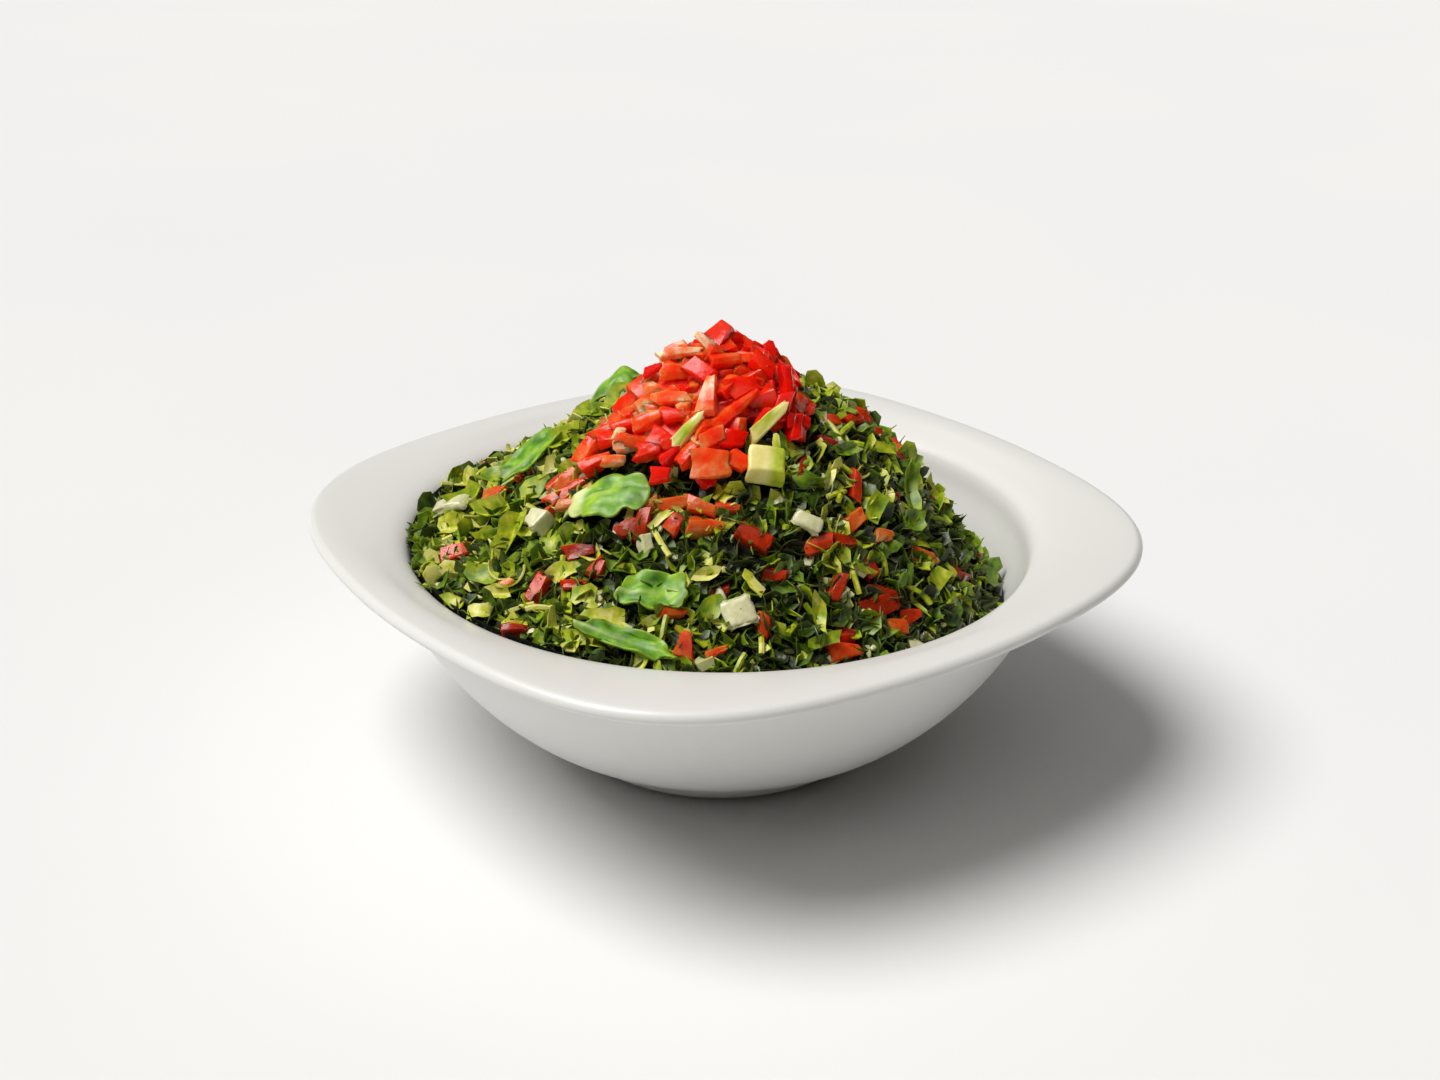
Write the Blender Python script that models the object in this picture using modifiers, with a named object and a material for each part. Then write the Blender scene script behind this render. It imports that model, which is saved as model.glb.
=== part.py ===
"""A heaped tabbouleh salad in a square white porcelain bowl, topped with a pile of chopped tomato.

The bowl is round below and is drawn out to four soft corners at its lip. One corner points along +X.
The origin is at the centre of the foot, on the surface that the bowl stands on. Units are metres, +Z up.
Food pieces rest a hair above what carries them, so that every node stays a solid of its own.
"""

import math
import random

import bmesh
import bpy
from mathutils import Euler, Matrix, Vector, noise

MM = 0.001
GOLDEN_ANGLE = math.pi * (3 - math.sqrt(5))

# Driving dimensions of the bowl.
HALF_DIAGONAL = 110 * MM
RIM_HEIGHT = 64 * MM
SQUARENESS = 0.0465
CORNER_SHARPNESS = 0.0053
WELL_RADIUS = 82 * MM
LIP_START = 84.5 * MM
LIP_SETTLED_SHARE = 0.85
FOOT_RADIUS = 39 * MM
FOOT_TOP_RADIUS = 50 * MM
FOOT_HEIGHT = 9 * MM
FOOT_RECESS = 2.5 * MM
FOOT_RING_WIDTH = 6 * MM
FLOOR_HEIGHT = 11.5 * MM
RIM_THICKNESS = 3.8 * MM
TURN_STEPS = 48

# Driving dimensions of the salad heap. It is wide and low at the left, steep and deep set at the right.
REST_GAP = 0.45 * MM
HEAP_TOP = 99 * MM
LEFT_SKIRT = 58.5 * MM
RIGHT_SKIRT = 33.5 * MM
LEFT_SPREAD = 53.5 * MM
RIGHT_SPREAD = 63 * MM
LEFT_STEEPNESS = 2.7
RIGHT_STEEPNESS = 3.4
LEFT_SHAPE_ENDS = -0.5
CORE_BUMP = 2.3 * MM
CORE_BUMP_SIZE = 4 * MM
CORE_CALM_EDGE = 0.06
CORE_CALM_TOP = 0.6
CORE_STEPS = 76
CORE_SHARES = [1, 0.95, 0.9, 0.85, 0.795, 0.74, 0.685, 0.63, 0.575, 0.52, 0.465, 0.41, 0.35, 0.28, 0.18, 0]
BED_SHARES = [1, 0.94, 0.83, 0.7, 0.5, 0]

# Driving dimensions of the tomato pile. Its reach from its middle is given every 30 degrees from +X.
PILE_CENTRE = Vector((0, -5 * MM))
PILE_REACH = [reach * MM for reach in (25, 23, 22, 20, 19, 19, 23, 38, 34, 38, 26, 31)]
PILE_DEPTH = 16 * MM
PILE_EDGE_DEPTH = 4.6 * MM
PILE_ROUNDNESS = 1.1
PILE_SINK = 2.4 * MM
PILE_STEPS = 24
PILE_SHARES = [0.84, 0.62, 0.42, 0.22, 0]
PILE_DICE = 54

# Loose pieces: how many are tried, how big each kind is, and how a piece that does not fit is moved.
LEAF_BITS = 116
STALK_BITS = 12
TOMATO_BITS = 24
ONION_BITS = 14
LEAF_BIT_SIZE = 4.8 * MM
LEAF_BIT_THICKNESS = 0.9 * MM
STALK_SIZE = Vector((9, 1.9, 1.7)) * MM
TOMATO_BIT_SIZE = Vector((6.4, 5.4, 5)) * MM
ONION_BIT_SIZE = Vector((4.8, 4.2, 2.8)) * MM
PILE_DICE_SIZES = [
    Vector((8.4, 7.2, 6.6)) * MM,
    Vector((10.5, 6, 4.6)) * MM,
    Vector((7.6, 7.4, 7)) * MM,
    Vector((12, 5, 4)) * MM,
]
NEIGHBOUR_GAP = 0.8 * MM
PILE_SPAN = 0.13
NEAR_WALL = 66 * MM
WALL_CLEARANCE = 0.6 * MM
ATTEMPTS = 6
SHIFT = 0.5 * MM
LIFT_STEP = 0.3 * MM


def clear_scene():
    for obj in list(bpy.data.objects):
        bpy.data.objects.remove(obj)


def new_collection(name):
    collection = bpy.data.collections.new(name)
    bpy.context.scene.collection.children.link(collection)
    return collection


def new_material(name, colour, roughness):
    material = bpy.data.materials.new(name)
    material.use_nodes = True
    shader = material.node_tree.nodes["Principled BSDF"]
    shader.inputs["Base Color"].default_value = (*colour, 1)
    shader.inputs["Roughness"].default_value = roughness
    shader.inputs["Metallic"].default_value = 0
    return material


def new_object(name, mesh, collection, material=None):
    obj = bpy.data.objects.new(name, mesh)
    collection.objects.link(obj)
    if material:
        mesh.materials.clear()
        mesh.materials.append(material)
    return obj


def mesh_from(bm, name):
    mesh = bpy.data.meshes.new(name)
    bm.to_mesh(mesh)
    bm.free()
    return mesh


def evaluated_mesh(obj):
    """A plain mesh of the object with its modifiers applied."""
    bpy.context.view_layer.update()
    graph = bpy.context.evaluated_depsgraph_get()
    return bpy.data.meshes.new_from_object(obj.evaluated_get(graph))


def apply_modifiers(obj):
    mesh = evaluated_mesh(obj)
    obj.modifiers.clear()
    obj.data = mesh


def turned(name, profile, steps, collection):
    """A full turn of a profile in the XZ plane. The profile starts and ends on the axis."""
    bm = bmesh.new()
    points = [bm.verts.new((x, 0, z)) for x, z in profile]
    for first, second in zip(points, points[1:]):
        bm.edges.new((first, second))
    obj = new_object(name, mesh_from(bm, name), collection)
    screw = obj.modifiers.new("Turn", "SCREW")
    screw.axis = "Z"
    screw.angle = math.tau
    screw.steps = steps
    screw.render_steps = steps
    screw.use_smooth_shade = False
    screw.use_merge_vertices = True
    screw.merge_threshold = 0.00005
    apply_modifiers(obj)
    return obj


def smooth_step(share):
    share = min(max(share, 0), 1)
    return share * share * (3 - 2 * share)


def corner_reach(angle):
    """How far the rim reaches from the axis: furthest at the four corners, least midway between them."""
    inset = SQUARENESS * (1 - math.cos(4 * angle)) + CORNER_SHARPNESS * (1 - math.cos(8 * angle))
    return HALF_DIAGONAL * (1 - inset)


def drawn_out(radius, angle):
    """The radius on the finished bowl of a point that was turned at this radius."""
    share = (radius - LIP_START) / (HALF_DIAGONAL - LIP_START)
    pull = smooth_step(share / LIP_SETTLED_SHARE)
    return radius - (HALF_DIAGONAL - corner_reach(angle)) * pull


def inner_profile():
    """The bowl's inside, from the middle of its floor out to the rim."""
    return [
        (0, FLOOR_HEIGHT),
        (24 * MM, FLOOR_HEIGHT + 0.4 * MM),
        (44 * MM, FLOOR_HEIGHT + 3.2 * MM),
        (58 * MM, FLOOR_HEIGHT + 10.3 * MM),
        (67.5 * MM, FLOOR_HEIGHT + 19.2 * MM),
        (75 * MM, FLOOR_HEIGHT + 30 * MM),
        (80 * MM, FLOOR_HEIGHT + 41 * MM),
        (WELL_RADIUS, FLOOR_HEIGHT + 47.2 * MM),
        (LIP_START, RIM_HEIGHT - 3.2 * MM),
        (89 * MM, RIM_HEIGHT - 1.9 * MM),
        (97 * MM, RIM_HEIGHT - 0.8 * MM),
        (HALF_DIAGONAL - 2.2 * MM, RIM_HEIGHT),
    ]


def outer_profile():
    """The bowl's outside, from the rim down to the middle of the underside."""
    edge = HALF_DIAGONAL
    ring_inside = FOOT_RADIUS - FOOT_RING_WIDTH
    return [
        (edge - 0.6 * MM, RIM_HEIGHT - 0.6 * MM),
        (edge, RIM_HEIGHT - 2.2 * MM),
        (edge - 2 * MM, RIM_HEIGHT - RIM_THICKNESS),
        (97 * MM, RIM_HEIGHT - RIM_THICKNESS - 1.3 * MM),
        (89.5 * MM, RIM_HEIGHT - RIM_THICKNESS - 3.4 * MM),
        (86.2 * MM, RIM_HEIGHT - 10.5 * MM),
        (83.8 * MM, 46 * MM),
        (79.5 * MM, 37.5 * MM),
        (73 * MM, 28 * MM),
        (65 * MM, 19.2 * MM),
        (57.5 * MM, 13 * MM),
        (FOOT_TOP_RADIUS, FOOT_HEIGHT),
        (FOOT_RADIUS + 5.2 * MM, FOOT_HEIGHT * 0.36),
        (FOOT_RADIUS + 1.6 * MM, 0.5 * MM),
        (FOOT_RADIUS, 0),
        (ring_inside, 0),
        (ring_inside - 1.2 * MM, FOOT_RECESS),
        (0, FOOT_RECESS),
    ]


def along_profile(profile, radius):
    """The height of the profile at a radius, on the straight run between two of its points."""
    for (r0, z0), (r1, z1) in zip(profile, profile[1:]):
        if radius <= r1:
            return z0 + (z1 - z0) * (radius - r0) / (r1 - r0)
    return profile[-1][1]


def bowl_surface(x, y):
    """The height of the bowl's upper side above a point in plan."""
    radius = math.hypot(x, y)
    angle = math.atan2(y, x)
    low, high = 0, HALF_DIAGONAL
    for _ in range(24):
        middle = (low + high) / 2
        if drawn_out(middle, angle) < radius:
            low = middle
        else:
            high = middle
    return along_profile(inner_profile(), low)


def make_bowl(parts, material):
    bowl = turned("bowl", inner_profile() + outer_profile(), TURN_STEPS, parts)
    for vertex in bowl.data.vertices:
        radius = math.hypot(vertex.co.x, vertex.co.y)
        if radius > LIP_START:
            angle = math.atan2(vertex.co.y, vertex.co.x)
            factor = drawn_out(radius, angle) / radius
            vertex.co.x *= factor
            vertex.co.y *= factor
    bowl.data.materials.append(material)
    bowl.data.shade_smooth()
    bowl.data.set_sharp_from_angle(angle=math.radians(50))
    return bowl


def heap_height(x, y):
    """The salad's smooth surface above a point in plan, before bumps and loose pieces."""
    radius = math.hypot(x, y)
    rightward = x / radius if radius > 1e-6 else 0
    share = smooth_step((rightward - LEFT_SHAPE_ENDS) / (1 - LEFT_SHAPE_ENDS))
    skirt = LEFT_SKIRT + (RIGHT_SKIRT - LEFT_SKIRT) * share
    spread = LEFT_SPREAD + (RIGHT_SPREAD - LEFT_SPREAD) * share
    steepness = LEFT_STEEPNESS + (RIGHT_STEEPNESS - LEFT_STEEPNESS) * share
    return skirt + (HEAP_TOP - skirt) * math.exp(-((radius / spread) ** steepness))


def heap_normal(x, y, surface=heap_height):
    step = 1 * MM
    slope_x = (surface(x + step, y) - surface(x - step, y)) / (2 * step)
    slope_y = (surface(x, y + step) - surface(x, y - step)) / (2 * step)
    return Vector((-slope_x, -slope_y, 1)).normalized()


def pile_reach(angle):
    """How far the tomato pile reaches from its middle, eased from one given radius to the next."""
    turn = (angle / math.tau % 1) * len(PILE_REACH)
    index = int(turn) % len(PILE_REACH)
    following = PILE_REACH[(index + 1) % len(PILE_REACH)]
    return PILE_REACH[index] + (following - PILE_REACH[index]) * smooth_step(turn - int(turn))


def beyond_pile(x, y):
    """How far outside the tomato pile's foot a point in plan lies. Inside it is less than nothing."""
    across = Vector((x, y)) - PILE_CENTRE
    return across.length - pile_reach(math.atan2(across.y, across.x))


def pile_height(x, y):
    """The tomato pile's surface: deepest over its middle, one piece deep at its foot."""
    across = Vector((x, y)) - PILE_CENTRE
    share = min(across.length / pile_reach(math.atan2(across.y, across.x)), 1)
    return heap_height(x, y) + PILE_DEPTH + (PILE_EDGE_DEPTH - PILE_DEPTH) * share**PILE_ROUNDNESS


class Footprint:
    """An ellipse in plan that a topping covers, kept free of the heap's bumps and loose pieces."""

    def __init__(self, x, y, length, width, turn):
        self.centre = Vector((x, y)) * MM
        self.half = Vector((length / 2, width / 2)) * MM
        self.turn = math.radians(turn)

    def covers(self, x, y, margin):
        across = Vector((x, y)) - self.centre
        along = across.x * math.cos(self.turn) + across.y * math.sin(self.turn)
        aside = across.y * math.cos(self.turn) - across.x * math.sin(self.turn)
        return math.hypot(along / (self.half.x + margin), aside / (self.half.y + margin)) < 1


# Toppings on the heap. Each has its middle in plan, its length, width and turn, in millimetres and degrees.
LEAVES = {
    "lettuce_leaf_top_left": Footprint(-29, 10, 15, 13, 20),
    "lettuce_leaf_left": Footprint(-48.5, -8, 19, 12, 35),
    "lettuce_leaf_ribbed": Footprint(-22.5, -38.5, 22, 11, -8),
    "lettuce_leaf_front": Footprint(-8, -60, 20, 9, 6),
    "lettuce_strip_front": Footprint(-12, -73, 26, 6, -9),
}
ONION_SLICES = {
    "onion_slice_middle": Footprint(12.8, -60.5, 10, 8, 10),
    "onion_slice_right": Footprint(26.5, -39.5, 10, 5, -38),
    "onion_slice_back": Footprint(-58, 38, 12, 7, 40),
    "onion_slice_left": Footprint(-71, -9, 12, 8, 80),
    "onion_cube": Footprint(-39.5, -40, 6.5, 6.5, 8),
}
CUCUMBER = Footprint(15.5, -35, 11, 9.5, -10)
ONION_CUBE_THICKNESS = 5.4 * MM
ONION_SLICE_THICKNESS = 2.4 * MM
CUCUMBER_THICKNESS = 7.5 * MM
LEAF_THICKNESS = 0.9 * MM
LEAF_WAVE = 1.3 * MM
LEAF_BULGE = {"lettuce_leaf_top_left": 5.5 * MM, "lettuce_leaf_ribbed": 2 * MM}
LEAF_CURL = 1.2 * MM


def toppings():
    return [*LEAVES.values(), *ONION_SLICES.values(), CUCUMBER]


def under_topping(x, y, margin):
    if beyond_pile(x, y) < margin:
        return True
    return any(topping.covers(x, y, margin) for topping in toppings())


def bed_profile():
    """The bowl's inside moved in by the resting gap, for the salad that lies against it."""
    inside = [point for point in inner_profile() if point[0] <= WELL_RADIUS]
    moved = []
    for index, (radius, height) in enumerate(inside):
        before = inside[max(index - 1, 0)]
        after = inside[min(index + 1, len(inside) - 1)]
        run = Vector((after[0] - before[0], after[1] - before[1])).normalized()
        moved.append((max(radius - run.y * REST_GAP, 0), height + run.x * REST_GAP))
    return moved


def heap_edge(angle):
    """The radius at which the heap meets the bowl's wall."""
    bed = bed_profile()
    low, high = 40 * MM, bed[-1][0]
    for _ in range(30):
        middle = (low + high) / 2
        over = heap_height(middle * math.cos(angle), middle * math.sin(angle))
        if over > along_profile(bed, middle):
            low = middle
        else:
            high = middle
    return low


def bump_share(rng, x, y, share):
    """A random bump from -1 to 1: none by the wall or under a topping, and only hollows round a topping.

    Towards the top, where the rings are narrow, the bumps are lower.
    """
    calm = smooth_step((1 - share) / CORE_CALM_EDGE) * smooth_step(share / CORE_CALM_TOP)
    bump = rng.uniform(-1, 1) * calm
    if under_topping(x, y, NEIGHBOUR_GAP):
        return 0
    if under_topping(x, y, CORE_BUMP_SIZE):
        return min(bump, 0)
    return bump


def double_cone(name, upper_shares, lower_shares, steps, collection):
    """A double cone, to be draped over a heap above its edge and into what holds the heap below it.

    The shares are the radii of its rings, as parts of the full radius, from the edge to the middle.
    """
    upper = [(share, upper_shares[0] - share) for share in reversed(upper_shares)]
    lower = [(share, share - lower_shares[0]) for share in lower_shares[1:]]
    return turned(name, upper + lower, steps, collection)


def make_heap_core(rng, parts, material):
    """The salad's body, down to the bowl's floor, with bumps of the size of its pieces on top."""
    core = double_cone("salad_heap", CORE_SHARES, BED_SHARES, CORE_STEPS, parts)
    bed = bed_profile()
    for vertex in core.data.vertices:
        share = math.hypot(vertex.co.x, vertex.co.y)
        angle = math.atan2(vertex.co.y, vertex.co.x)
        edge = heap_edge(angle)
        x, y = edge * share * math.cos(angle), edge * share * math.sin(angle)
        if vertex.co.z > 1e-4:
            bump = CORE_BUMP * bump_share(rng, x, y, share)
            vertex.co = Vector((x, y, heap_height(x, y))) + heap_normal(x, y) * bump
        else:
            vertex.co = (x, y, along_profile(bed, edge * share))
    core.data.materials.append(material)
    return core


def make_pile_core(parts, material):
    """The pile's body. Its widest ring is its upper edge, and its underside lies on the salad."""
    core = double_cone("tomato_pile", PILE_SHARES, PILE_SHARES, PILE_STEPS, parts)
    for vertex in core.data.vertices:
        share = math.hypot(vertex.co.x, vertex.co.y)
        angle = math.atan2(vertex.co.y, vertex.co.x)
        x = PILE_CENTRE.x + pile_reach(angle) * share * math.cos(angle)
        y = PILE_CENTRE.y + pile_reach(angle) * share * math.sin(angle)
        under = vertex.co.z < -1e-4
        height = heap_height(x, y) + REST_GAP if under else pile_height(x, y) - PILE_SINK
        vertex.co = (x, y, height)
    core.data.materials.append(material)
    return core


def leaf_bit_mesh(rng, sides):
    """A torn scrap of parsley leaf: an uneven rounded outline, cupped along one line, given a thickness."""
    bm = bmesh.new()
    bmesh.ops.create_circle(bm, cap_ends=True, segments=sides, radius=LEAF_BIT_SIZE)
    for vertex in bm.verts:
        vertex.co *= rng.uniform(0.7, 1.15)
        vertex.co.y *= 0.72
        vertex.co.z = 9 * vertex.co.x**2 / LEAF_BIT_SIZE * 0.06
    bmesh.ops.triangulate(bm, faces=bm.faces)
    sheet = [*bm.faces]
    grown = bmesh.ops.extrude_face_region(bm, geom=sheet, use_keep_orig=True)
    lifted = [item for item in grown["geom"] if isinstance(item, bmesh.types.BMVert)]
    bmesh.ops.translate(bm, verts=lifted, vec=(0, 0, LEAF_BIT_THICKNESS))
    bmesh.ops.recalc_face_normals(bm, faces=bm.faces)
    return mesh_from(bm, "leaf_bit")


def block_mesh(rng, name, size, unevenness):
    """A knife-cut block whose corners are a little out of square."""
    bm = bmesh.new()
    bmesh.ops.create_cube(bm, size=1)
    for vertex in bm.verts:
        for axis in range(3):
            vertex.co[axis] *= size[axis] * rng.uniform(1 - unevenness, 1 + unevenness)
    bmesh.ops.triangulate(bm, faces=bm.faces)
    return mesh_from(bm, name)


def piece_matrix(rng, place, normal, tilt, lift):
    """A placement on a surface: turned freely about the normal, then tilted off it."""
    spin = Matrix.Rotation(rng.uniform(0, math.tau), 4, "Z")
    lean = Matrix.Rotation(tilt, 4, "X")
    roll = Matrix.Rotation(rng.uniform(-0.5, 0.5), 4, "Y")
    upright = normal.to_track_quat("Z", "Y").to_matrix().to_4x4()
    return Matrix.Translation(place + normal * lift) @ upright @ spin @ lean @ roll


def outline_points(mesh, matrix):
    """A piece's corners and the middles of its edges, in place."""
    corners = [matrix @ vertex.co for vertex in mesh.vertices]
    middles = [(corners[edge.vertices[0]] + corners[edge.vertices[1]]) / 2 for edge in mesh.edges]
    return corners + middles


def clears_bowl(point):
    """Whether a point stands above the bowl by the clearance, there and as far further out."""
    outward = 1 + WALL_CLEARANCE / math.hypot(point.x, point.y)
    reach = bowl_surface(point.x * outward, point.y * outward)
    return point.z > reach + WALL_CLEARANCE


def fits_heap(points):
    """Whether a loose piece stays clear of the toppings, and of the bowl near its wall."""
    for point in points:
        if under_topping(point.x, point.y, NEIGHBOUR_GAP):
            return False
        if math.hypot(point.x, point.y) > NEAR_WALL and not clears_bowl(point):
            return False
    return True


def fits_pile(points):
    """Whether a chopped piece stays above the salad, inside the pile's foot and clear of the toppings."""
    for point in points:
        if beyond_pile(point.x, point.y) > 0:
            return False
        if point.z < heap_height(point.x, point.y) + REST_GAP:
            return False
        if any(topping.covers(point.x, point.y, 0) for topping in toppings()):
            return False
    return True


def place_piece(rng, shape, place, normal, tilts, lift, fits, collection):
    """Tries a piece a few times, each time turned and moved a little differently, until it fits."""
    for attempt in range(ATTEMPTS):
        shift = Vector((rng.uniform(-1, 1), rng.uniform(-1, 1), 0)) * attempt * SHIFT
        tilt = math.radians(rng.uniform(*tilts))
        matrix = piece_matrix(rng, place + shift, normal, tilt, lift + attempt * LIFT_STEP)
        if fits(outline_points(shape, matrix)):
            piece = new_object("piece", shape, collection)
            piece.matrix_world = matrix
            return


def scatter_on_heap(rng, collection):
    """Loose pieces over the heap, spread evenly by the golden angle. The largest kinds come first."""
    leaf_shapes = [leaf_bit_mesh(rng, sides) for sides in (5, 6, 4, 5, 6, 5)]
    stalk_shapes = [block_mesh(rng, "stalk_bit", STALK_SIZE, 0.2) for _ in range(3)]
    tomato_shapes = [block_mesh(rng, "tomato_bit", TOMATO_BIT_SIZE, 0.22) for _ in range(4)]
    onion_shapes = [block_mesh(rng, "onion_bit", ONION_BIT_SIZE, 0.2) for _ in range(3)]
    kinds = [
        (tomato_shapes, TOMATO_BITS, (5, 45), 0.9 * MM),
        (onion_shapes, ONION_BITS, (5, 45), 0.7 * MM),
        (stalk_shapes, STALK_BITS, (5, 30), 0.4 * MM),
        (leaf_shapes, LEAF_BITS, (12, 62), 0.5 * MM),
    ]
    for kind, (shapes, count, tilts, lift) in enumerate(kinds):
        for index in range(count):
            angle = index * GOLDEN_ANGLE + kind
            reach = heap_edge(angle) * math.sqrt(PILE_SPAN + (1 - PILE_SPAN) * (index + 0.5) / count)
            x, y = reach * math.cos(angle), reach * math.sin(angle)
            place = Vector((x, y, heap_height(x, y)))
            shape = rng.choice(shapes)
            place_piece(rng, shape, place, heap_normal(x, y), tilts, lift, fits_heap, collection)


def scatter_on_pile(rng, collection):
    """Chopped tomato over the pile, in uneven blocks and strips."""
    shapes = [block_mesh(rng, "tomato_die", Vector(size), 0.2) for size in PILE_DICE_SIZES]
    for index in range(PILE_DICE):
        angle = index * GOLDEN_ANGLE
        reach = pile_reach(angle) * math.sqrt((index + 0.3) / PILE_DICE)
        x = PILE_CENTRE.x + reach * math.cos(angle)
        y = PILE_CENTRE.y + reach * math.sin(angle)
        place = Vector((x, y, pile_height(x, y) - PILE_SINK / 2))
        normal = heap_normal(x, y, pile_height)
        place_piece(rng, rng.choice(shapes), place, normal, (0, 50), 0, fits_pile, collection)


def connected_bodies(bm):
    """The separate bodies of a mesh, each as a list of faces."""
    unseen = set(bm.faces)
    bodies = []
    while unseen:
        start = unseen.pop()
        body, front = [start], [start]
        while front:
            for edge in front.pop().edges:
                for face in edge.link_faces:
                    if face in unseen:
                        unseen.remove(face)
                        body.append(face)
                        front.append(face)
        bodies.append(body)
    return bodies


def triangulate(obj):
    bm = bmesh.new()
    bm.from_mesh(obj.data)
    bmesh.ops.triangulate(bm, faces=bm.faces)
    bm.to_mesh(obj.data)
    bm.free()


def keep_main_body(obj):
    """Drops loose scraps and the walls of sealed hollows, so that one closed body is left."""
    bm = bmesh.new()
    bm.from_mesh(obj.data)
    bodies = sorted(connected_bodies(bm), key=len)
    spare = [face for body in bodies[:-1] for face in body]
    bmesh.ops.delete(bm, geom=spare, context="FACES")
    bm.to_mesh(obj.data)
    bm.free()


def fuse(obj, pieces):
    """Joins every object of a collection to this one, applies the join and removes the pieces."""
    triangulate(obj)
    union = obj.modifiers.new("Fuse", "BOOLEAN")
    union.operation = "UNION"
    union.operand_type = "COLLECTION"
    union.collection = pieces
    union.solver = "EXACT"
    apply_modifiers(obj)
    for piece in list(pieces.objects):
        bpy.data.objects.remove(piece)
    bpy.data.collections.remove(pieces)
    keep_main_body(obj)


def draped_leaf(name, footprint, seed, parts, material):
    """A leaf that follows the heap under it: a grid drawn to an ellipse, rippled, then thickened upwards."""
    bulge = LEAF_BULGE.get(name, 0)
    bm = bmesh.new()
    bmesh.ops.create_grid(bm, x_segments=5, y_segments=4, size=1)
    bmesh.ops.triangulate(bm, faces=bm.faces)
    for vertex in bm.verts:
        u, v = vertex.co.x, vertex.co.y
        disc_u = u * math.sqrt(1 - v * v / 2)
        disc_v = v * math.sqrt(1 - u * u / 2)
        along, aside = disc_u * footprint.half.x, disc_v * footprint.half.y
        x = footprint.centre.x + along * math.cos(footprint.turn) - aside * math.sin(footprint.turn)
        y = footprint.centre.y + along * math.sin(footprint.turn) + aside * math.cos(footprint.turn)
        ripple = noise.noise(Vector((disc_u * 1.7, disc_v * 1.7, seed * 3.1)))
        outward = disc_u**2 + disc_v**2
        rise = LEAF_WAVE * (0.5 + ripple) + LEAF_CURL * outward + bulge * (1 - outward)
        vertex.co = (x, y, heap_height(x, y) + REST_GAP + max(rise, 0))
    bmesh.ops.recalc_face_normals(bm, faces=bm.faces)
    upward = sum(face.normal.z for face in bm.faces)
    if upward < 0:
        bmesh.ops.reverse_faces(bm, faces=bm.faces)
    leaf = new_object(name, mesh_from(bm, name), parts, material)
    thicken = leaf.modifiers.new("Thickness", "SOLIDIFY")
    thicken.thickness = LEAF_THICKNESS
    thicken.offset = 1
    return leaf


def resting_block(name, footprint, thickness, parts, material, rng):
    """A cut block that lies flat on the slope of the heap."""
    size = Vector((footprint.half.x * 1.5, footprint.half.y * 1.5, thickness))
    mesh = block_mesh(rng, name, size, 0.1)
    block = new_object(name, mesh, parts, material)
    x, y = footprint.centre
    upright = heap_normal(x, y).to_track_quat("Z", "Y").to_matrix().to_4x4()
    spin = Matrix.Rotation(footprint.turn, 4, "Z")
    place = Vector((x, y, heap_height(x, y)))
    for lift_steps in range(60):
        lift = thickness / 2 + lift_steps * 0.1 * MM
        matrix = Matrix.Translation(place + Vector((0, 0, lift))) @ upright @ spin
        points = outline_points(mesh, matrix)
        if all(point.z > heap_height(point.x, point.y) + REST_GAP for point in points):
            break
    block.matrix_world = matrix
    return block


def main():
    clear_scene()
    parts = new_collection("tabbouleh_bowl")
    porcelain = new_material("white_porcelain", (0.86, 0.86, 0.84), 0.22)
    greens = new_material("chopped_parsley", (0.07, 0.16, 0.03), 0.5)
    tomato = new_material("chopped_tomato", (0.7, 0.05, 0.02), 0.3)
    lettuce = new_material("lettuce", (0.2, 0.42, 0.05), 0.45)
    onion = new_material("onion", (0.75, 0.78, 0.62), 0.3)
    cucumber = new_material("cucumber", (0.72, 0.72, 0.3), 0.3)

    make_bowl(parts, porcelain)
    rng = random.Random(11)
    heap = make_heap_core(rng, parts, greens)
    loose = new_collection("loose_pieces")
    scatter_on_heap(rng, loose)
    fuse(heap, loose)

    pile = make_pile_core(parts, tomato)
    dice = new_collection("tomato_dice")
    scatter_on_pile(random.Random(5), dice)
    fuse(pile, dice)

    for seed, (name, footprint) in enumerate(LEAVES.items()):
        draped_leaf(name, footprint, seed, parts, lettuce)
    rng = random.Random(3)
    for name, footprint in ONION_SLICES.items():
        thickness = ONION_CUBE_THICKNESS if name == "onion_cube" else ONION_SLICE_THICKNESS
        resting_block(name, footprint, thickness, parts, onion, rng)
    resting_block("cucumber_chunk", CUCUMBER, CUCUMBER_THICKNESS, parts, cucumber, rng)


main()
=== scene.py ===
# %% [markdown]
# A tabbouleh: finely chopped parsley with tomato, onion and a little lettuce, heaped in a square white
# porcelain bowl and topped with diced tomato. The imported model already holds every piece at its real size
# and place, so this script never moves one. It loads that model as a fixed frame, and dresses it. Its box is
# measured first.

# %% Load the imported model
import math
import random

import bmesh
import bpy
from mathutils import Matrix, Vector, geometry, noise


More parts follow.
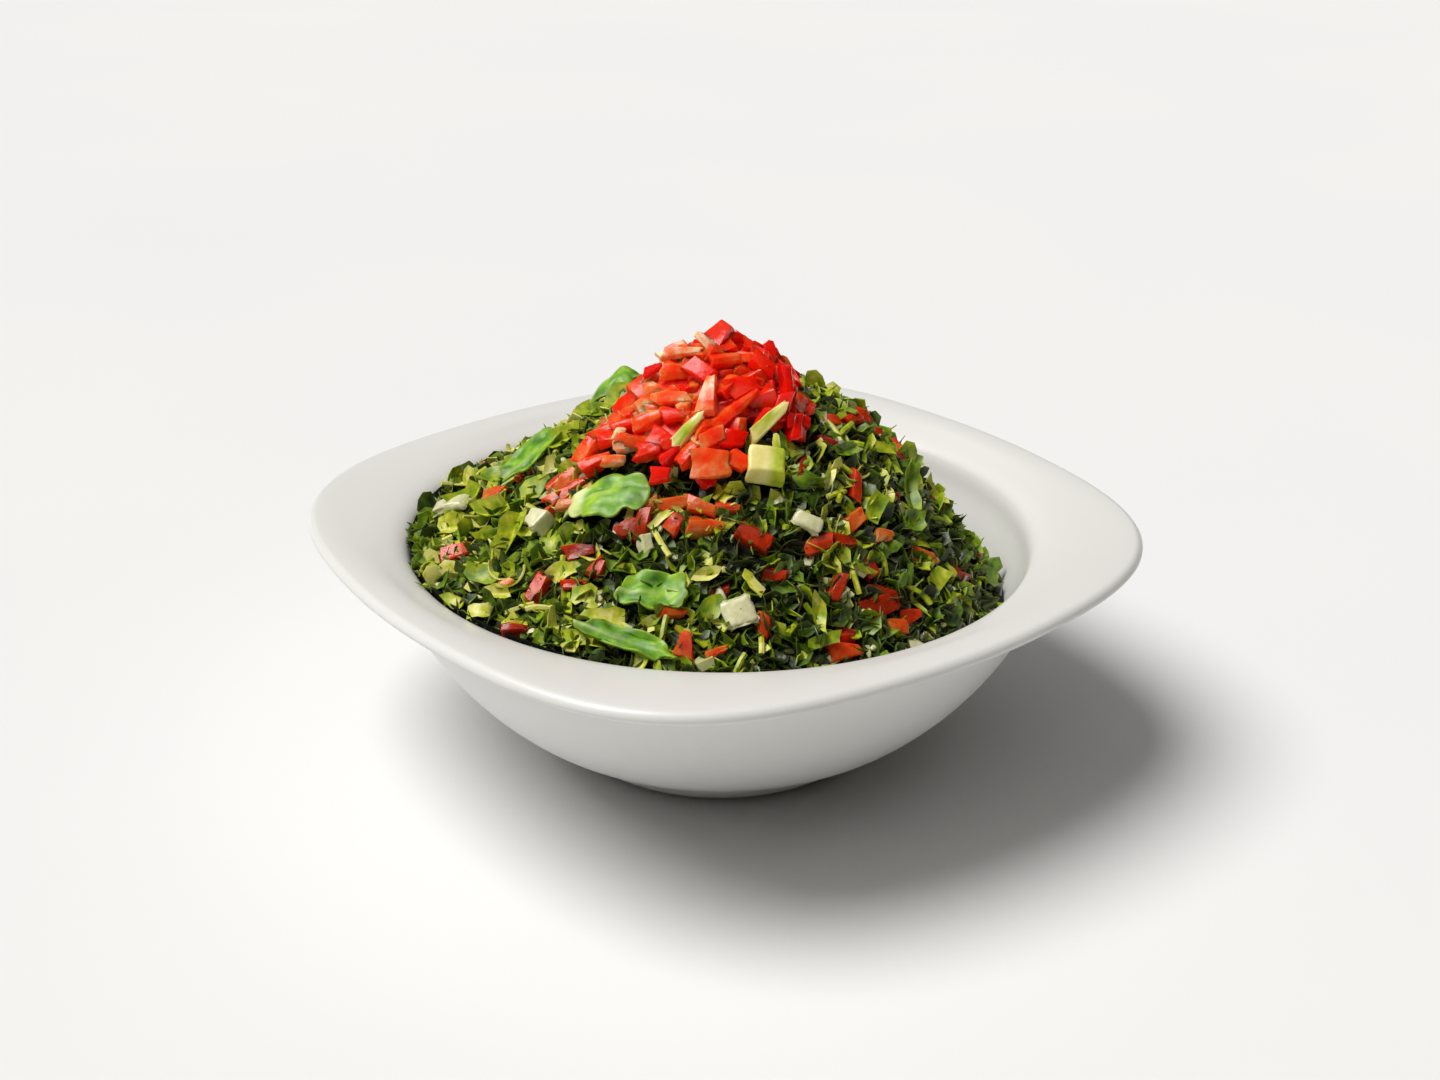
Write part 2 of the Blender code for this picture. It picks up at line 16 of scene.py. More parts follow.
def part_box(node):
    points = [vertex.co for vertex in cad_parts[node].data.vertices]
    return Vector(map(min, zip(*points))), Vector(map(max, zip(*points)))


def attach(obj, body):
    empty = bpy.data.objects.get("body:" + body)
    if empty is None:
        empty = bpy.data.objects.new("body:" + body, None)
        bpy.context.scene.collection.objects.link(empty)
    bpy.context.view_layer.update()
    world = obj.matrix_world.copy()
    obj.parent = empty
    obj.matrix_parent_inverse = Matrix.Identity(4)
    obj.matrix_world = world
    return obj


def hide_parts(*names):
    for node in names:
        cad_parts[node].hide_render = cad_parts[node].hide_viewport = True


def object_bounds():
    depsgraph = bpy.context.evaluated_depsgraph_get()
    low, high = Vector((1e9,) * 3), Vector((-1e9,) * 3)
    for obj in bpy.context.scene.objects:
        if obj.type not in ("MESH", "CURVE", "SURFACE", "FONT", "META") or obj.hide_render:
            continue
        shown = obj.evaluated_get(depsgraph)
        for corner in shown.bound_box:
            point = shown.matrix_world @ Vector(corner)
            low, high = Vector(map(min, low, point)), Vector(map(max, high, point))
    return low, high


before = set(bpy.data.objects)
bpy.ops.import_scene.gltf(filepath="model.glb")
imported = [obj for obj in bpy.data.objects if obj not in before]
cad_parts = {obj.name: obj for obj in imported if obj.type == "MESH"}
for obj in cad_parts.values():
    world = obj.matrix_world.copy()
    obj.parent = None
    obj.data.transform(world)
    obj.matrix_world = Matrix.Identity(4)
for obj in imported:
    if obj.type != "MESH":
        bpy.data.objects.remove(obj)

MM = 0.001
cad_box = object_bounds()
print("nodes:", len(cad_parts), "box:", [round(value / MM, 1) for value in (*cad_box[0], *cad_box[1])])

# %% [markdown]
# A camera is an object whose matrix holds its right, its up, its backward direction and its place. This one
# looks at the bowl from its front, a little to the right, and from 24 degrees above the table. Those numbers
# were found by fitting the bowl's lip and foot. The focal length follows from the image, which is 1440 pixels
# wide, and Blender's sensor, which is 36 mm wide. Depth of field is left off, so that all of it is sharp.

# %% Camera
IMAGE_WIDTH = 1440
FOCAL_PIXELS = 1875
CAMERA_AZIMUTH = math.radians(7.65)
CAMERA_ELEVATION = math.radians(24.1)
CAMERA_ROLL = math.radians(0.31)
CAMERA_DISTANCE = 500 * MM
LOOK_HEIGHT = 55.6 * MM

camera_data = bpy.data.cameras.new("camera")
camera_data.sensor_width = 36
camera_data.lens = FOCAL_PIXELS * camera_data.sensor_width / IMAGE_WIDTH
camera_data.clip_start = 0.01
camera = bpy.data.objects.new("camera", camera_data)
bpy.context.scene.collection.objects.link(camera)

backward = Vector((
    math.sin(CAMERA_AZIMUTH) * math.cos(CAMERA_ELEVATION),
    -math.cos(CAMERA_AZIMUTH) * math.cos(CAMERA_ELEVATION),
    math.sin(CAMERA_ELEVATION),
))
rightward = Vector((math.cos(CAMERA_AZIMUTH), math.sin(CAMERA_AZIMUTH), 0))
turn = Matrix((rightward, backward.cross(rightward), backward)).transposed().to_4x4()
place = Matrix.Translation(Vector((0, 0, LOOK_HEIGHT)) + backward * CAMERA_DISTANCE)
camera.matrix_world = place @ turn @ Matrix.Rotation(CAMERA_ROLL, 4, "Z")
bpy.context.scene.camera = camera
print("lens in mm:", camera_data.lens)

# %% [markdown]
# Materials are graphs of nodes. Two helpers keep them short: one adds a node and joins its sockets, and the
# other adds a colour ramp. Colours are easiest to judge as 0 to 255 screen values, but Blender works in
# linear light, so a third helper converts them.

# %% Helpers for materials
def paint(red, green, blue):
    """A screen colour, 0 to 255, as linear light."""
    shares = [value / 255 for value in (red, green, blue)]
    return tuple(s / 12.92 if s <= 0.04045 else ((s + 0.055) / 1.055) ** 2.4 for s in shares)


def add_node(tree, kind, inputs=None, **settings):
    """A new node. An input is either another node's output socket, or a value."""
    node = tree.nodes.new(kind)
    for name, value in settings.items():
        setattr(node, name, value)
    for socket, value in (inputs or {}).items():
        if isinstance(value, bpy.types.NodeSocket):
            tree.links.new(value, node.inputs[socket])
        else:
            node.inputs[socket].default_value = value
    return node


def colour_ramp(tree, factor, stops):
    """A colour that changes with the factor, through stops of a place from 0 to 1 and a screen colour."""
    ramp = add_node(tree, "ShaderNodeValToRGB", {"Fac": factor})
    elements = ramp.color_ramp.elements
    elements[0].position = stops[0][0]
    elements[-1].position = stops[-1][0]
    for position, _ in stops[1:-1]:
        elements.new(position)
    for element, (_, colour) in zip(elements, stops):
        element.color = (*paint(*colour), 1)
    return ramp.outputs["Color"]


def new_material(name, **sockets):
    """A material with its Principled shader. Words in a socket's name are joined by underscores."""
    material = bpy.data.materials.new(name)
    material.use_nodes = True
    shader = material.node_tree.nodes["Principled BSDF"]
    for socket, value in sockets.items():
        shader.inputs[socket.replace("_", " ")].default_value = value
    return material, material.node_tree, shader


print("pure white:", paint(255, 255, 255))

# %% [markdown]
# Patterns come from noise. On Object coordinates a pattern's scale is in repeats for each metre, so a scale
# of 1000 makes spots of about a millimetre. Two more helpers give such noise, and a mix of two colours.

# %% Helpers for patterns
def spots(tree, scale, detail=2, roughness=0.5, stretch=(1, 1, 1)):
    """Noise from 0 to 1 on Object coordinates."""
    coordinates = add_node(tree, "ShaderNodeTexCoord")
    mapping = add_node(tree, "ShaderNodeMapping", {"Vector": coordinates.outputs["Object"], "Scale": stretch})
    inputs = {"Vector": mapping.outputs["Vector"], "Scale": scale, "Detail": detail, "Roughness": roughness}
    return add_node(tree, "ShaderNodeTexNoise", inputs).outputs["Fac"]


def between(tree, factor, low, high, start=0, end=1):
    """A number that goes from start to end while the factor goes from low to high."""
    inputs = {"Value": factor, "From Min": low, "From Max": high, "To Min": start, "To Max": end}
    return add_node(tree, "ShaderNodeMapRange", inputs).outputs["Result"]


def mixed(tree, factor, first, second, blend_type="MIX"):
    """A mix of two colours, each an output socket or a linear colour."""
    node = add_node(tree, "ShaderNodeMix", {"Factor": factor}, data_type="RGBA", blend_type=blend_type)
    for socket, colour in zip((6, 7), (first, second)):
        if isinstance(colour, bpy.types.NodeSocket):
            tree.links.new(colour, node.inputs[socket])
        else:
            node.inputs[socket].default_value = (*colour, 1)
    return node.outputs[2]


def attribute(tree, name):
    """A number stored at each vertex."""
    return add_node(tree, "ShaderNodeAttribute", attribute_name=name).outputs["Fac"]


def relief(tree, shader, height, distance, strength=1):
    """Bump from a height from 0 to 1, as deep as the distance."""
    inputs = {"Height": height, "Distance": distance, "Strength": strength}
    bump = add_node(tree, "ShaderNodeBump", inputs)
    tree.links.new(bump.outputs["Normal"], shader.inputs["Normal"])


print("helpers for patterns:", [helper.__name__ for helper in (spots, between, mixed, attribute, relief)])

# %% [markdown]
# The studio is plain: a pale floor, a large soft light high on the left, a weak one above, and a world that
# is grey on the left and a dark warm brown on the right. A dark side in the world is how a photographer
# gives white porcelain its form, because white on white has no edge. The floor has no gloss, so that it is
# as pale far away as it is nearby. Past its edge the camera sees a plain backdrop, by the Light Path node.

# %% Floor and lights
FLOOR_SIZE = 12
FLOOR_DROP = 0.2 * MM


def make_floor():
    bm = bmesh.new()
    bmesh.ops.create_grid(bm, x_segments=1, y_segments=1, size=FLOOR_SIZE / 2)
    bmesh.ops.translate(bm, verts=bm.verts, vec=(0, 0, -FLOOR_DROP))
    mesh = bpy.data.meshes.new("floor")
    bm.to_mesh(mesh)
    bm.free()
    material, tree, shader = new_material("pale_floor", Roughness=0.9, Specular_IOR_Level=0)
    tone = colour_ramp(tree, spots(tree, 3), [(0.3, (229, 229, 230)), (0.7, (232, 232, 232))])
    tree.links.new(tone, shader.inputs["Base Color"])
    mesh.materials.append(material)
    floor = bpy.data.objects.new("floor", mesh)
    bpy.context.scene.collection.objects.link(floor)


def soft_sun(name, direction, spread, strength, colour):
    """Light from far away, soft because it comes from a wide patch of the sky. The spread is its width."""
    data = bpy.data.lights.new(name, "SUN")
    data.angle = math.radians(spread)
    data.energy = strength
    data.color = colour
    light = bpy.data.objects.new(name, data)
    light.rotation_mode = "QUATERNION"
    light.rotation_quaternion = Vector(direction).to_track_quat("Z", "Y")
    bpy.context.scene.collection.objects.link(light)


make_floor()
soft_sun("key", (-0.42, -0.16, 0.89), 36, 3.2, (1, 0.985, 0.96))
soft_sun("overhead", (0, -0.1, 1), 60, 0.4, (1, 0.99, 0.98))
bpy.context.scene.view_settings.view_transform = "Standard"
print("lights:", [light.name for light in bpy.data.lights])

# %% World
ROOM_LEFT = (112, 112, 110)
ROOM_RIGHT = (44, 36, 30)
BACKDROP = (240, 240, 238)


def make_world():
    """Light from all around, paler on the left. The camera sees a plain backdrop instead."""
    world = bpy.data.worlds.new("studio")
    world.use_nodes = True
    tree = world.node_tree
    coordinates = add_node(tree, "ShaderNodeTexCoord")
    split = add_node(tree, "ShaderNodeSeparateXYZ", {"Vector": coordinates.outputs["Generated"]})
    room = colour_ramp(tree, between(tree, split.outputs["X"], -1, 1), [(0.3, ROOM_LEFT), (0.7, ROOM_RIGHT)])
    seen = add_node(tree, "ShaderNodeLightPath").outputs["Is Camera Ray"]
    around = mixed(tree, seen, room, paint(*BACKDROP))
    tree.links.new(around, tree.nodes["Background"].inputs["Color"])
    bpy.context.scene.world = world


make_world()
print("world:", bpy.context.scene.world.name)

# %% [markdown]
# The bowl's cross-section is one curve: across the floor, up the wall, over the shoulder, out along the lip,
# round its edge, and back under to the foot. The model holds it as straight runs. Here each run becomes a
# Bezier piece whose handles follow its neighbours, so the same points give a smooth curve. bmesh.ops.spin
# turns that curve round the axis. The lip is then drawn out to four soft corners by moving its vertices in
# or out, just as a potter presses a round rim into a square.

# %% Cross-section of the bowl
HALF_DIAGONAL = 110 * MM
RIM_HEIGHT = 64 * MM
RIM_THICKNESS = 3.8 * MM
WELL_RADIUS = 82 * MM
LIP_START = 84.5 * MM
FOOT_RADIUS = 39 * MM
FOOT_RING_WIDTH = 6 * MM
FOOT_TOP_RADIUS = 50 * MM
FOOT_HEIGHT = 9 * MM
FOOT_RECESS = 2.5 * MM
FLOOR_HEIGHT = 11.5 * MM
CURVE_STEPS = 4

INSIDE = [
    (0, FLOOR_HEIGHT),
    (24 * MM, FLOOR_HEIGHT + 0.4 * MM),
    (44 * MM, FLOOR_HEIGHT + 3.2 * MM),
    (58 * MM, FLOOR_HEIGHT + 10.3 * MM),
    (67.5 * MM, FLOOR_HEIGHT + 19.2 * MM),
    (75 * MM, FLOOR_HEIGHT + 30 * MM),
    (80 * MM, FLOOR_HEIGHT + 41 * MM),
    (WELL_RADIUS, FLOOR_HEIGHT + 47.2 * MM),
    (LIP_START, RIM_HEIGHT - 3.2 * MM),
    (89 * MM, RIM_HEIGHT - 1.9 * MM),
    (97 * MM, RIM_HEIGHT - 0.8 * MM),
    (HALF_DIAGONAL - 2.2 * MM, RIM_HEIGHT),
]
OUTSIDE = [
    (HALF_DIAGONAL - 0.6 * MM, RIM_HEIGHT - 0.6 * MM),
    (HALF_DIAGONAL, RIM_HEIGHT - 2.2 * MM),
    (HALF_DIAGONAL - 2 * MM, RIM_HEIGHT - RIM_THICKNESS),
    (97 * MM, RIM_HEIGHT - RIM_THICKNESS - 1.3 * MM),
    (89.5 * MM, RIM_HEIGHT - RIM_THICKNESS - 3.4 * MM),
    (86.2 * MM, RIM_HEIGHT - 10.5 * MM),
    (83.8 * MM, 46 * MM),
    (79.5 * MM, 37.5 * MM),
    (73 * MM, 28 * MM),
    (65 * MM, 19.2 * MM),
    (57.5 * MM, 13 * MM),
    (FOOT_TOP_RADIUS, FOOT_HEIGHT),
    (FOOT_RADIUS + 5.2 * MM, FOOT_HEIGHT * 0.36),
    (FOOT_RADIUS + 1.6 * MM, 0.5 * MM),
    (FOOT_RADIUS, 0),
    (FOOT_RADIUS - FOOT_RING_WIDTH, 0),
    (FOOT_RADIUS - FOOT_RING_WIDTH - 1.2 * MM, FOOT_RECESS),
    (0, FOOT_RECESS),
]


def eased(points, steps):
    """The points joined by smooth curves, kept above the table and inside the lip's corners."""
    points = [Vector((radius, 0, height)) for radius, height in points]
    curve = [points[0]]
    for index in range(len(points) - 1):
        before, first, last, after = (points[min(max(index + n, 0), len(points) - 1)] for n in (-1, 0, 1, 2))
        pull = (last - first).length
        leaving = (last - before).normalized() * pull / 3
        arriving = (after - first).normalized() * pull / 3
        run = geometry.interpolate_bezier(first, first + leaving, last - arriving, last, steps + 1)
        curve += [Vector((min(p.x, HALF_DIAGONAL), 0, max(p.z, 0))) for p in run[1:]]
    return curve


cross_section = eased(INSIDE + OUTSIDE, CURVE_STEPS)
print("points:", len(INSIDE + OUTSIDE), "eased:", len(cross_section))

# %% Plan of the lip
SQUARENESS = 0.0465
CORNER_SHARPNESS = 0.0053
LIP_SETTLED_SHARE = 0.85


def smooth_step(share):
    share = min(max(share, 0), 1)
    return share * share * (3 - 2 * share)


def corner_reach(angle):
    """How far the rim reaches from the axis: furthest at the four corners, least midway between them."""
    inset = SQUARENESS * (1 - math.cos(4 * angle)) + CORNER_SHARPNESS * (1 - math.cos(8 * angle))
    return HALF_DIAGONAL * (1 - inset)


def drawn_out(radius, angle):
    """The radius on the finished bowl of a point that was turned at this radius."""
    share = (radius - LIP_START) / (HALF_DIAGONAL - LIP_START)
    return radius - (HALF_DIAGONAL - corner_reach(angle)) * smooth_step(share / LIP_SETTLED_SHARE)


print("reach at a corner and at a flat, mm:", corner_reach(0) / MM, round(corner_reach(math.pi / 4) / MM, 1))

# %% [markdown]
# Porcelain glaze is a hard white gloss, faintly uneven in its colour and its shine. The foot's ring is wiped
# bare before firing and shows the rough biscuit, so the height above the table chooses between the two. The
# shine varies over patches of about 17 mm, and its roughness stays above 0.28: the denoiser treats smoother
# surfaces another way, and would draw the border between the two on the white.

# %% Glaze
def make_glaze():
    material, tree, shader = new_material("white_glaze", IOR=1.45, Coat_Weight=0.1, Coat_Roughness=0.15)
    coordinates = add_node(tree, "ShaderNodeTexCoord")
    split = add_node(tree, "ShaderNodeSeparateXYZ", {"Vector": coordinates.outputs["Object"]})
    bare = between(tree, split.outputs["Z"], 0.5 * MM, 0.25 * MM)
    tint = colour_ramp(tree, spots(tree, 20, 1), [(0.2, (224, 223, 220)), (0.8, (227, 226, 223))])
    biscuit = colour_ramp(tree, spots(tree, 900, 3), [(0.3, (206, 196, 178)), (0.7, (222, 214, 199))])
    tree.links.new(mixed(tree, bare, tint, biscuit), shader.inputs["Base Color"])
    gloss = between(tree, spots(tree, 60, 1), 0.2, 0.8, 0.36, 0.43)
    roughness = add_node(tree, "ShaderNodeMath", {0: gloss, 1: bare}, operation="MAXIMUM")
    tree.links.new(between(tree, roughness.outputs["Value"], 0, 1, 0, 0.8), shader.inputs["Roughness"])
    relief(tree, shader, spots(tree, 60, 1), 0.03 * MM, 0.2)
    return material


glaze = make_glaze()
print("material:", glaze.name)

# %% Turn the bowl
TURN_STEPS = 192


def finished(name, bm, material, node, sharp_angle=40):
    """Makes the bmesh an object that rides with the model and stands for a node of it. It is shaded smooth,
    but an edge that turns by more than the sharp angle stays crisp."""
    mesh = bpy.data.meshes.new(name)
    bm.to_mesh(mesh)
    bm.free()
    mesh.materials.append(material)
    mesh.shade_smooth()
    mesh.set_sharp_from_angle(angle=math.radians(sharp_angle))
    piece = bpy.data.objects.new(name, mesh)
    bpy.context.scene.collection.objects.link(piece)
    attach(piece, "root")
    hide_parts(node)
    triangles = sum(len(polygon.vertices) - 2 for polygon in mesh.polygons)
    print(f"{name}: {triangles} triangles, top at {max(v.co.z for v in mesh.vertices) / MM:.1f} mm")
    return piece


def turned(curve, steps):
    """A bmesh of a curve in the XZ plane, turned once round the axis. The curve ends on the axis."""
    bm = bmesh.new()
    points = [bm.verts.new(point) for point in curve]
    runs = [bm.edges.new(pair) for pair in zip(points, points[1:])]
    bmesh.ops.spin(
        bm, geom=points + runs, axis=(0, 0, 1), cent=(0, 0, 0), angle=math.tau, steps=steps, use_merge=True
    )
    bmesh.ops.remove_doubles(bm, verts=bm.verts, dist=0.01 * MM)
    bmesh.ops.recalc_face_normals(bm, faces=bm.faces)
    return bm


def make_bowl():
    bm = turned(cross_section, TURN_STEPS)
    for vertex in bm.verts:
        radius = math.hypot(vertex.co.x, vertex.co.y)
        if radius > LIP_START:
            factor = drawn_out(radius, math.atan2(vertex.co.y, vertex.co.x)) / radius
            vertex.co.x *= factor
            vertex.co.y *= factor
    return finished("porcelain_bowl", bm, glaze, "bowl", sharp_angle=50)


make_bowl()

# %% [markdown]
# The salad is a low hill whose left side is wide and gentle and whose right side is steep. A formula gives
# its height above any point in plan, and from it come the normal there, the edge where the salad meets the
# bowl's wall, and the tomato pile on top. Everything that lies on the salad reads the same formula, so
# nothing floats.

# %% Form of the heap
HEAP_TOP = 99 * MM
LEFT_SKIRT = 58.5 * MM
RIGHT_SKIRT = 33.5 * MM
LEFT_SPREAD = 53.5 * MM
RIGHT_SPREAD = 63 * MM
LEFT_STEEPNESS = 2.7
RIGHT_STEEPNESS = 3.4
LEFT_SHAPE_ENDS = -0.5
REST_GAP = 0.45 * MM
EDGE_STEPS = 96
HALVINGS = 24


def heap_height(x, y):
    """The salad's smooth surface above a point in plan."""
    radius = math.hypot(x, y)
    side = x / radius if radius > 1e-6 else 0
    share = smooth_step((side - LEFT_SHAPE_ENDS) / (1 - LEFT_SHAPE_ENDS))
    skirt = LEFT_SKIRT + (RIGHT_SKIRT - LEFT_SKIRT) * share
    spread = LEFT_SPREAD + (RIGHT_SPREAD - LEFT_SPREAD) * share
    steepness = LEFT_STEEPNESS + (RIGHT_STEEPNESS - LEFT_STEEPNESS) * share
    return skirt + (HEAP_TOP - skirt) * math.exp(-((radius / spread) ** steepness))


def upright(x, y, surface=heap_height):
    """The normal of a surface that is given by its height."""
    step = 1 * MM
    slope_x = (surface(x + step, y) - surface(x - step, y)) / (2 * step)
    slope_y = (surface(x, y + step) - surface(x, y - step)) / (2 * step)
    return Vector((-slope_x, -slope_y, 1)).normalized()


def wall_height(radius):
    """The height of the bowl's inside at a radius."""
    for (r0, z0), (r1, z1) in zip(INSIDE, INSIDE[1:]):
        if radius <= r1:
            return z0 + (z1 - z0) * (radius - r0) / (r1 - r0)
    return INSIDE[-1][1]


def edge_at(angle):
    """The radius at which the salad meets the bowl's wall, found by halving."""
    low, high = 40 * MM, WELL_RADIUS - REST_GAP
    for _ in range(HALVINGS):
        middle = (low + high) / 2
        if heap_height(middle * math.cos(angle), middle * math.sin(angle)) > wall_height(middle) + REST_GAP:
            low = middle
        else:
            high = middle
    return low


edge_radii = [edge_at(math.tau * step / EDGE_STEPS) for step in range(EDGE_STEPS)]
print("edge radius right, back, left:", [round(edge_radii[EDGE_STEPS * q // 4] / MM, 1) for q in (0, 1, 2)])

# %% Form of the tomato pile
PILE_CENTRE = Vector((0, -5 * MM))
PILE_REACH = [reach * MM for reach in (25, 23, 22, 20, 19, 19, 23, 38, 34, 38, 26, 31)]
PILE_DEPTH = 16 * MM
PILE_EDGE_DEPTH = 4.6 * MM
PILE_ROUNDNESS = 1.1
PILE_SINK = 3 * MM


def heap_edge(angle):
    turn = (angle / math.tau % 1) * EDGE_STEPS
    index = int(turn) % EDGE_STEPS
    following = edge_radii[(index + 1) % EDGE_STEPS]
    return edge_radii[index] + (following - edge_radii[index]) * (turn - int(turn))


def pile_reach(angle):
    """How far the pile reaches from its middle, eased between twelve directions."""
    turn = (angle / math.tau % 1) * len(PILE_REACH)
    index = int(turn) % len(PILE_REACH)
    following = PILE_REACH[(index + 1) % len(PILE_REACH)]
    return PILE_REACH[index] + (following - PILE_REACH[index]) * smooth_step(turn - int(turn))


def beyond_pile(x, y):
    """How far outside the pile's foot a point in plan lies. Inside, it is less than nothing."""
    across = Vector((x, y)) - PILE_CENTRE
    return across.length - pile_reach(math.atan2(across.y, across.x))


def pile_height(x, y):
    across = Vector((x, y)) - PILE_CENTRE
    share = min(across.length / pile_reach(math.atan2(across.y, across.x)), 1)
    return heap_height(x, y) + PILE_DEPTH + (PILE_EDGE_DEPTH - PILE_DEPTH) * share**PILE_ROUNDNESS


print("pile top, mm:", round(pile_height(*PILE_CENTRE) / MM, 1))

# %% Toppings in plan
class Footprint:
    """The ellipse in plan that a topping covers: its middle, length, width and turn, in mm and degrees."""

    def __init__(self, x, y, length, width, turn):
        self.centre = Vector((x, y)) * MM
        self.half = Vector((length / 2, width / 2)) * MM
        self.turn = math.radians(turn)

    def covers(self, x, y, margin):
        across = Vector((x, y)) - self.centre
        along = across.x * math.cos(self.turn) + across.y * math.sin(self.turn)
        aside = across.y * math.cos(self.turn) - across.x * math.sin(self.turn)
        return math.hypot(along / (self.half.x + margin), aside / (self.half.y + margin)) < 1


LEAVES = {
    "lettuce_leaf_top_left": Footprint(-29, 10, 15, 13, 20),
    "lettuce_leaf_left": Footprint(-48.5, -8, 19, 12, 35),
    "lettuce_leaf_ribbed": Footprint(-22.5, -38.5, 22, 11, -8),
    "lettuce_leaf_front": Footprint(-8, -60, 20, 9, 6),
    "lettuce_strip_front": Footprint(-12, -73, 26, 6, -9),
}
ONIONS = {
    "onion_slice_middle": Footprint(12.8, -60.5, 10, 8, 10),
    "onion_slice_right": Footprint(26.5, -39.5, 10, 5, -38),
    "onion_slice_back": Footprint(-58, 38, 12, 7, 40),
    "onion_slice_left": Footprint(-71, -9, 12, 8, 80),
    "onion_cube": Footprint(-39.5, -40, 6.5, 6.5, 8),
}
CUCUMBER = Footprint(15.5, -35, 11, 9.5, -10)
TOPPINGS = [*LEAVES.values(), *ONIONS.values(), CUCUMBER]


def under_topping(x, y, margin):
    return any(topping.covers(x, y, margin) for topping in TOPPINGS)


print("toppings:", len(TOPPINGS))

# %% [markdown]
# Chopped salad is not a surface: it is thousands of scraps with shaded gaps between them. So its core is
# nearly black green, which is painted shade for those gaps, and it lies a little lower than the finished
# surface. The scraps above it make what is seen. The core is turned from a flat double cone and draped over
# the formula, down to the bowl's floor.

# %% Dark core of the salad
CORE_DEPTH = 3.6 * MM
CORE_ROUGHNESS = 1.2 * MM
CORE_LUMP = 4 * MM
CORE_CALM_SHARE = 0.06
CORE_STEPS = 120
CORE_RINGS = 26


def double_cone(rings, steps):
    """A bmesh of two cones, base to base. Its upper side becomes a body's top, its lower side its floor."""
    upper = [Vector((ring / rings, 0, 1 - ring / rings)) for ring in range(rings + 1)]
    lower = [Vector((point.x, 0, -point.z)) for point in reversed(upper[:-1])]
    return turned(upper + lower, steps)


def make_core_material():
    material, tree, shader = new_material("parsley_gap_painted_shade", Roughness=0.6, Specular_IOR_Level=0.25)
    # Nearly black green: painted shade for the gaps between the scraps.
    tone = colour_ramp(tree, spots(tree, 350, 4), [(0.35, (4, 6, 2)), (0.65, (14, 20, 5))])
    tree.links.new(tone, shader.inputs["Base Color"])
    relief(tree, shader, spots(tree, 700, 3), 0.6 * MM)
    return material


def make_heap_core():
    bm = double_cone(CORE_RINGS, CORE_STEPS)
    for vertex in bm.verts:
        share = math.hypot(vertex.co.x, vertex.co.y)
        angle = math.atan2(vertex.co.y, vertex.co.x)
        reach = heap_edge(angle) * share
        x, y = reach * math.cos(angle), reach * math.sin(angle)
        if vertex.co.z < -1e-6:
            vertex.co = (x, y, wall_height(reach) + REST_GAP)
        else:
            calm = smooth_step((1 - share) / CORE_CALM_SHARE)
            uneven = CORE_ROUGHNESS * noise.noise(Vector((x, y, 0)) / CORE_LUMP) * calm
            vertex.co = (x, y, heap_height(x, y) - CORE_DEPTH * calm + uneven)
    return finished("salad_core", bm, make_core_material(), "salad_heap")


make_heap_core()

# %% [markdown]
# A knife leaves parsley as torn rounds, folded blades and toothed leaflets. Each is a flat operator shape,
# pulled uneven, cupped or folded, and given its thickness by bmesh.ops.solidify. A scrap has only a few
# dozen faces, because thousands are needed. Every vertex carries two numbers for the material: "edge" is 1
# on the cut outline, which is paler than the blade, and "tone" will be set for each copy.

# %% Shapes of parsley
LEAF_THICKNESS = 0.32 * MM


def with_thickness(bm, name, thickness, edge_from):
    """Thickens a sheet and stores how close each vertex is to its outline. Returns a mesh."""
    edge = bm.verts.layers.float.new("edge")
    bm.verts.layers.float.new("tone")
    for vertex in bm.verts:
        vertex[edge] = 1 if vertex.is_boundary else edge_from
    bmesh.ops.solidify(bm, geom=bm.faces[:], thickness=thickness)
    bmesh.ops.recalc_face_normals(bm, faces=bm.faces)
    mesh = bpy.data.meshes.new(name)
    bm.to_mesh(mesh)
    bm.free()
    return mesh


def torn_round(rng, points, size):
    """A torn scrap: a fan of faces whose outline goes in and out, bent sharply across one line."""
    bm = bmesh.new()
    bmesh.ops.create_circle(bm, cap_ends=True, cap_tris=True, segments=points, radius=size / 2)
    bend = rng.uniform(0.3, 2.6) / size
    narrow = rng.uniform(0.55, 0.95)
    for vertex in bm.verts:
        vertex.co *= rng.uniform(0.7, 1.2)
        vertex.co.y *= narrow
        vertex.co.z = bend * vertex.co.x**2 + rng.uniform(-0.1, 0.1) * size
    return with_thickness(bm, "torn_round", LEAF_THICKNESS, 0)


def leaflet(rng, size, lobes):
    """A toothed leaflet with lobes, folded along its middle and bent down at its tip."""
    bm = bmesh.new()
    points = lobes * 4 + 3
    bmesh.ops.create_circle(bm, cap_ends=True, cap_tris=True, segments=points, radius=size / 2)
    fold = rng.uniform(0.3, 1.1)
    narrow = rng.uniform(0.6, 0.9)
    phase = rng.uniform(0, math.tau)
    for index, vertex in enumerate(bm.verts):
        angle = math.atan2(vertex.co.y, vertex.co.x)
        lobe = 0.7 + 0.3 * abs(math.cos(lobes * angle / 2 + phase))
        tooth = 1.1 if index % 2 else 0.88
        vertex.co *= lobe * tooth * rng.uniform(0.88, 1.12)
        vertex.co.y *= narrow
        vertex.co.z = fold * abs(vertex.co.y) - rng.uniform(0.5, 1.5) * vertex.co.x**2 / size
    return with_thickness(bm, "leaflet", LEAF_THICKNESS, 0)


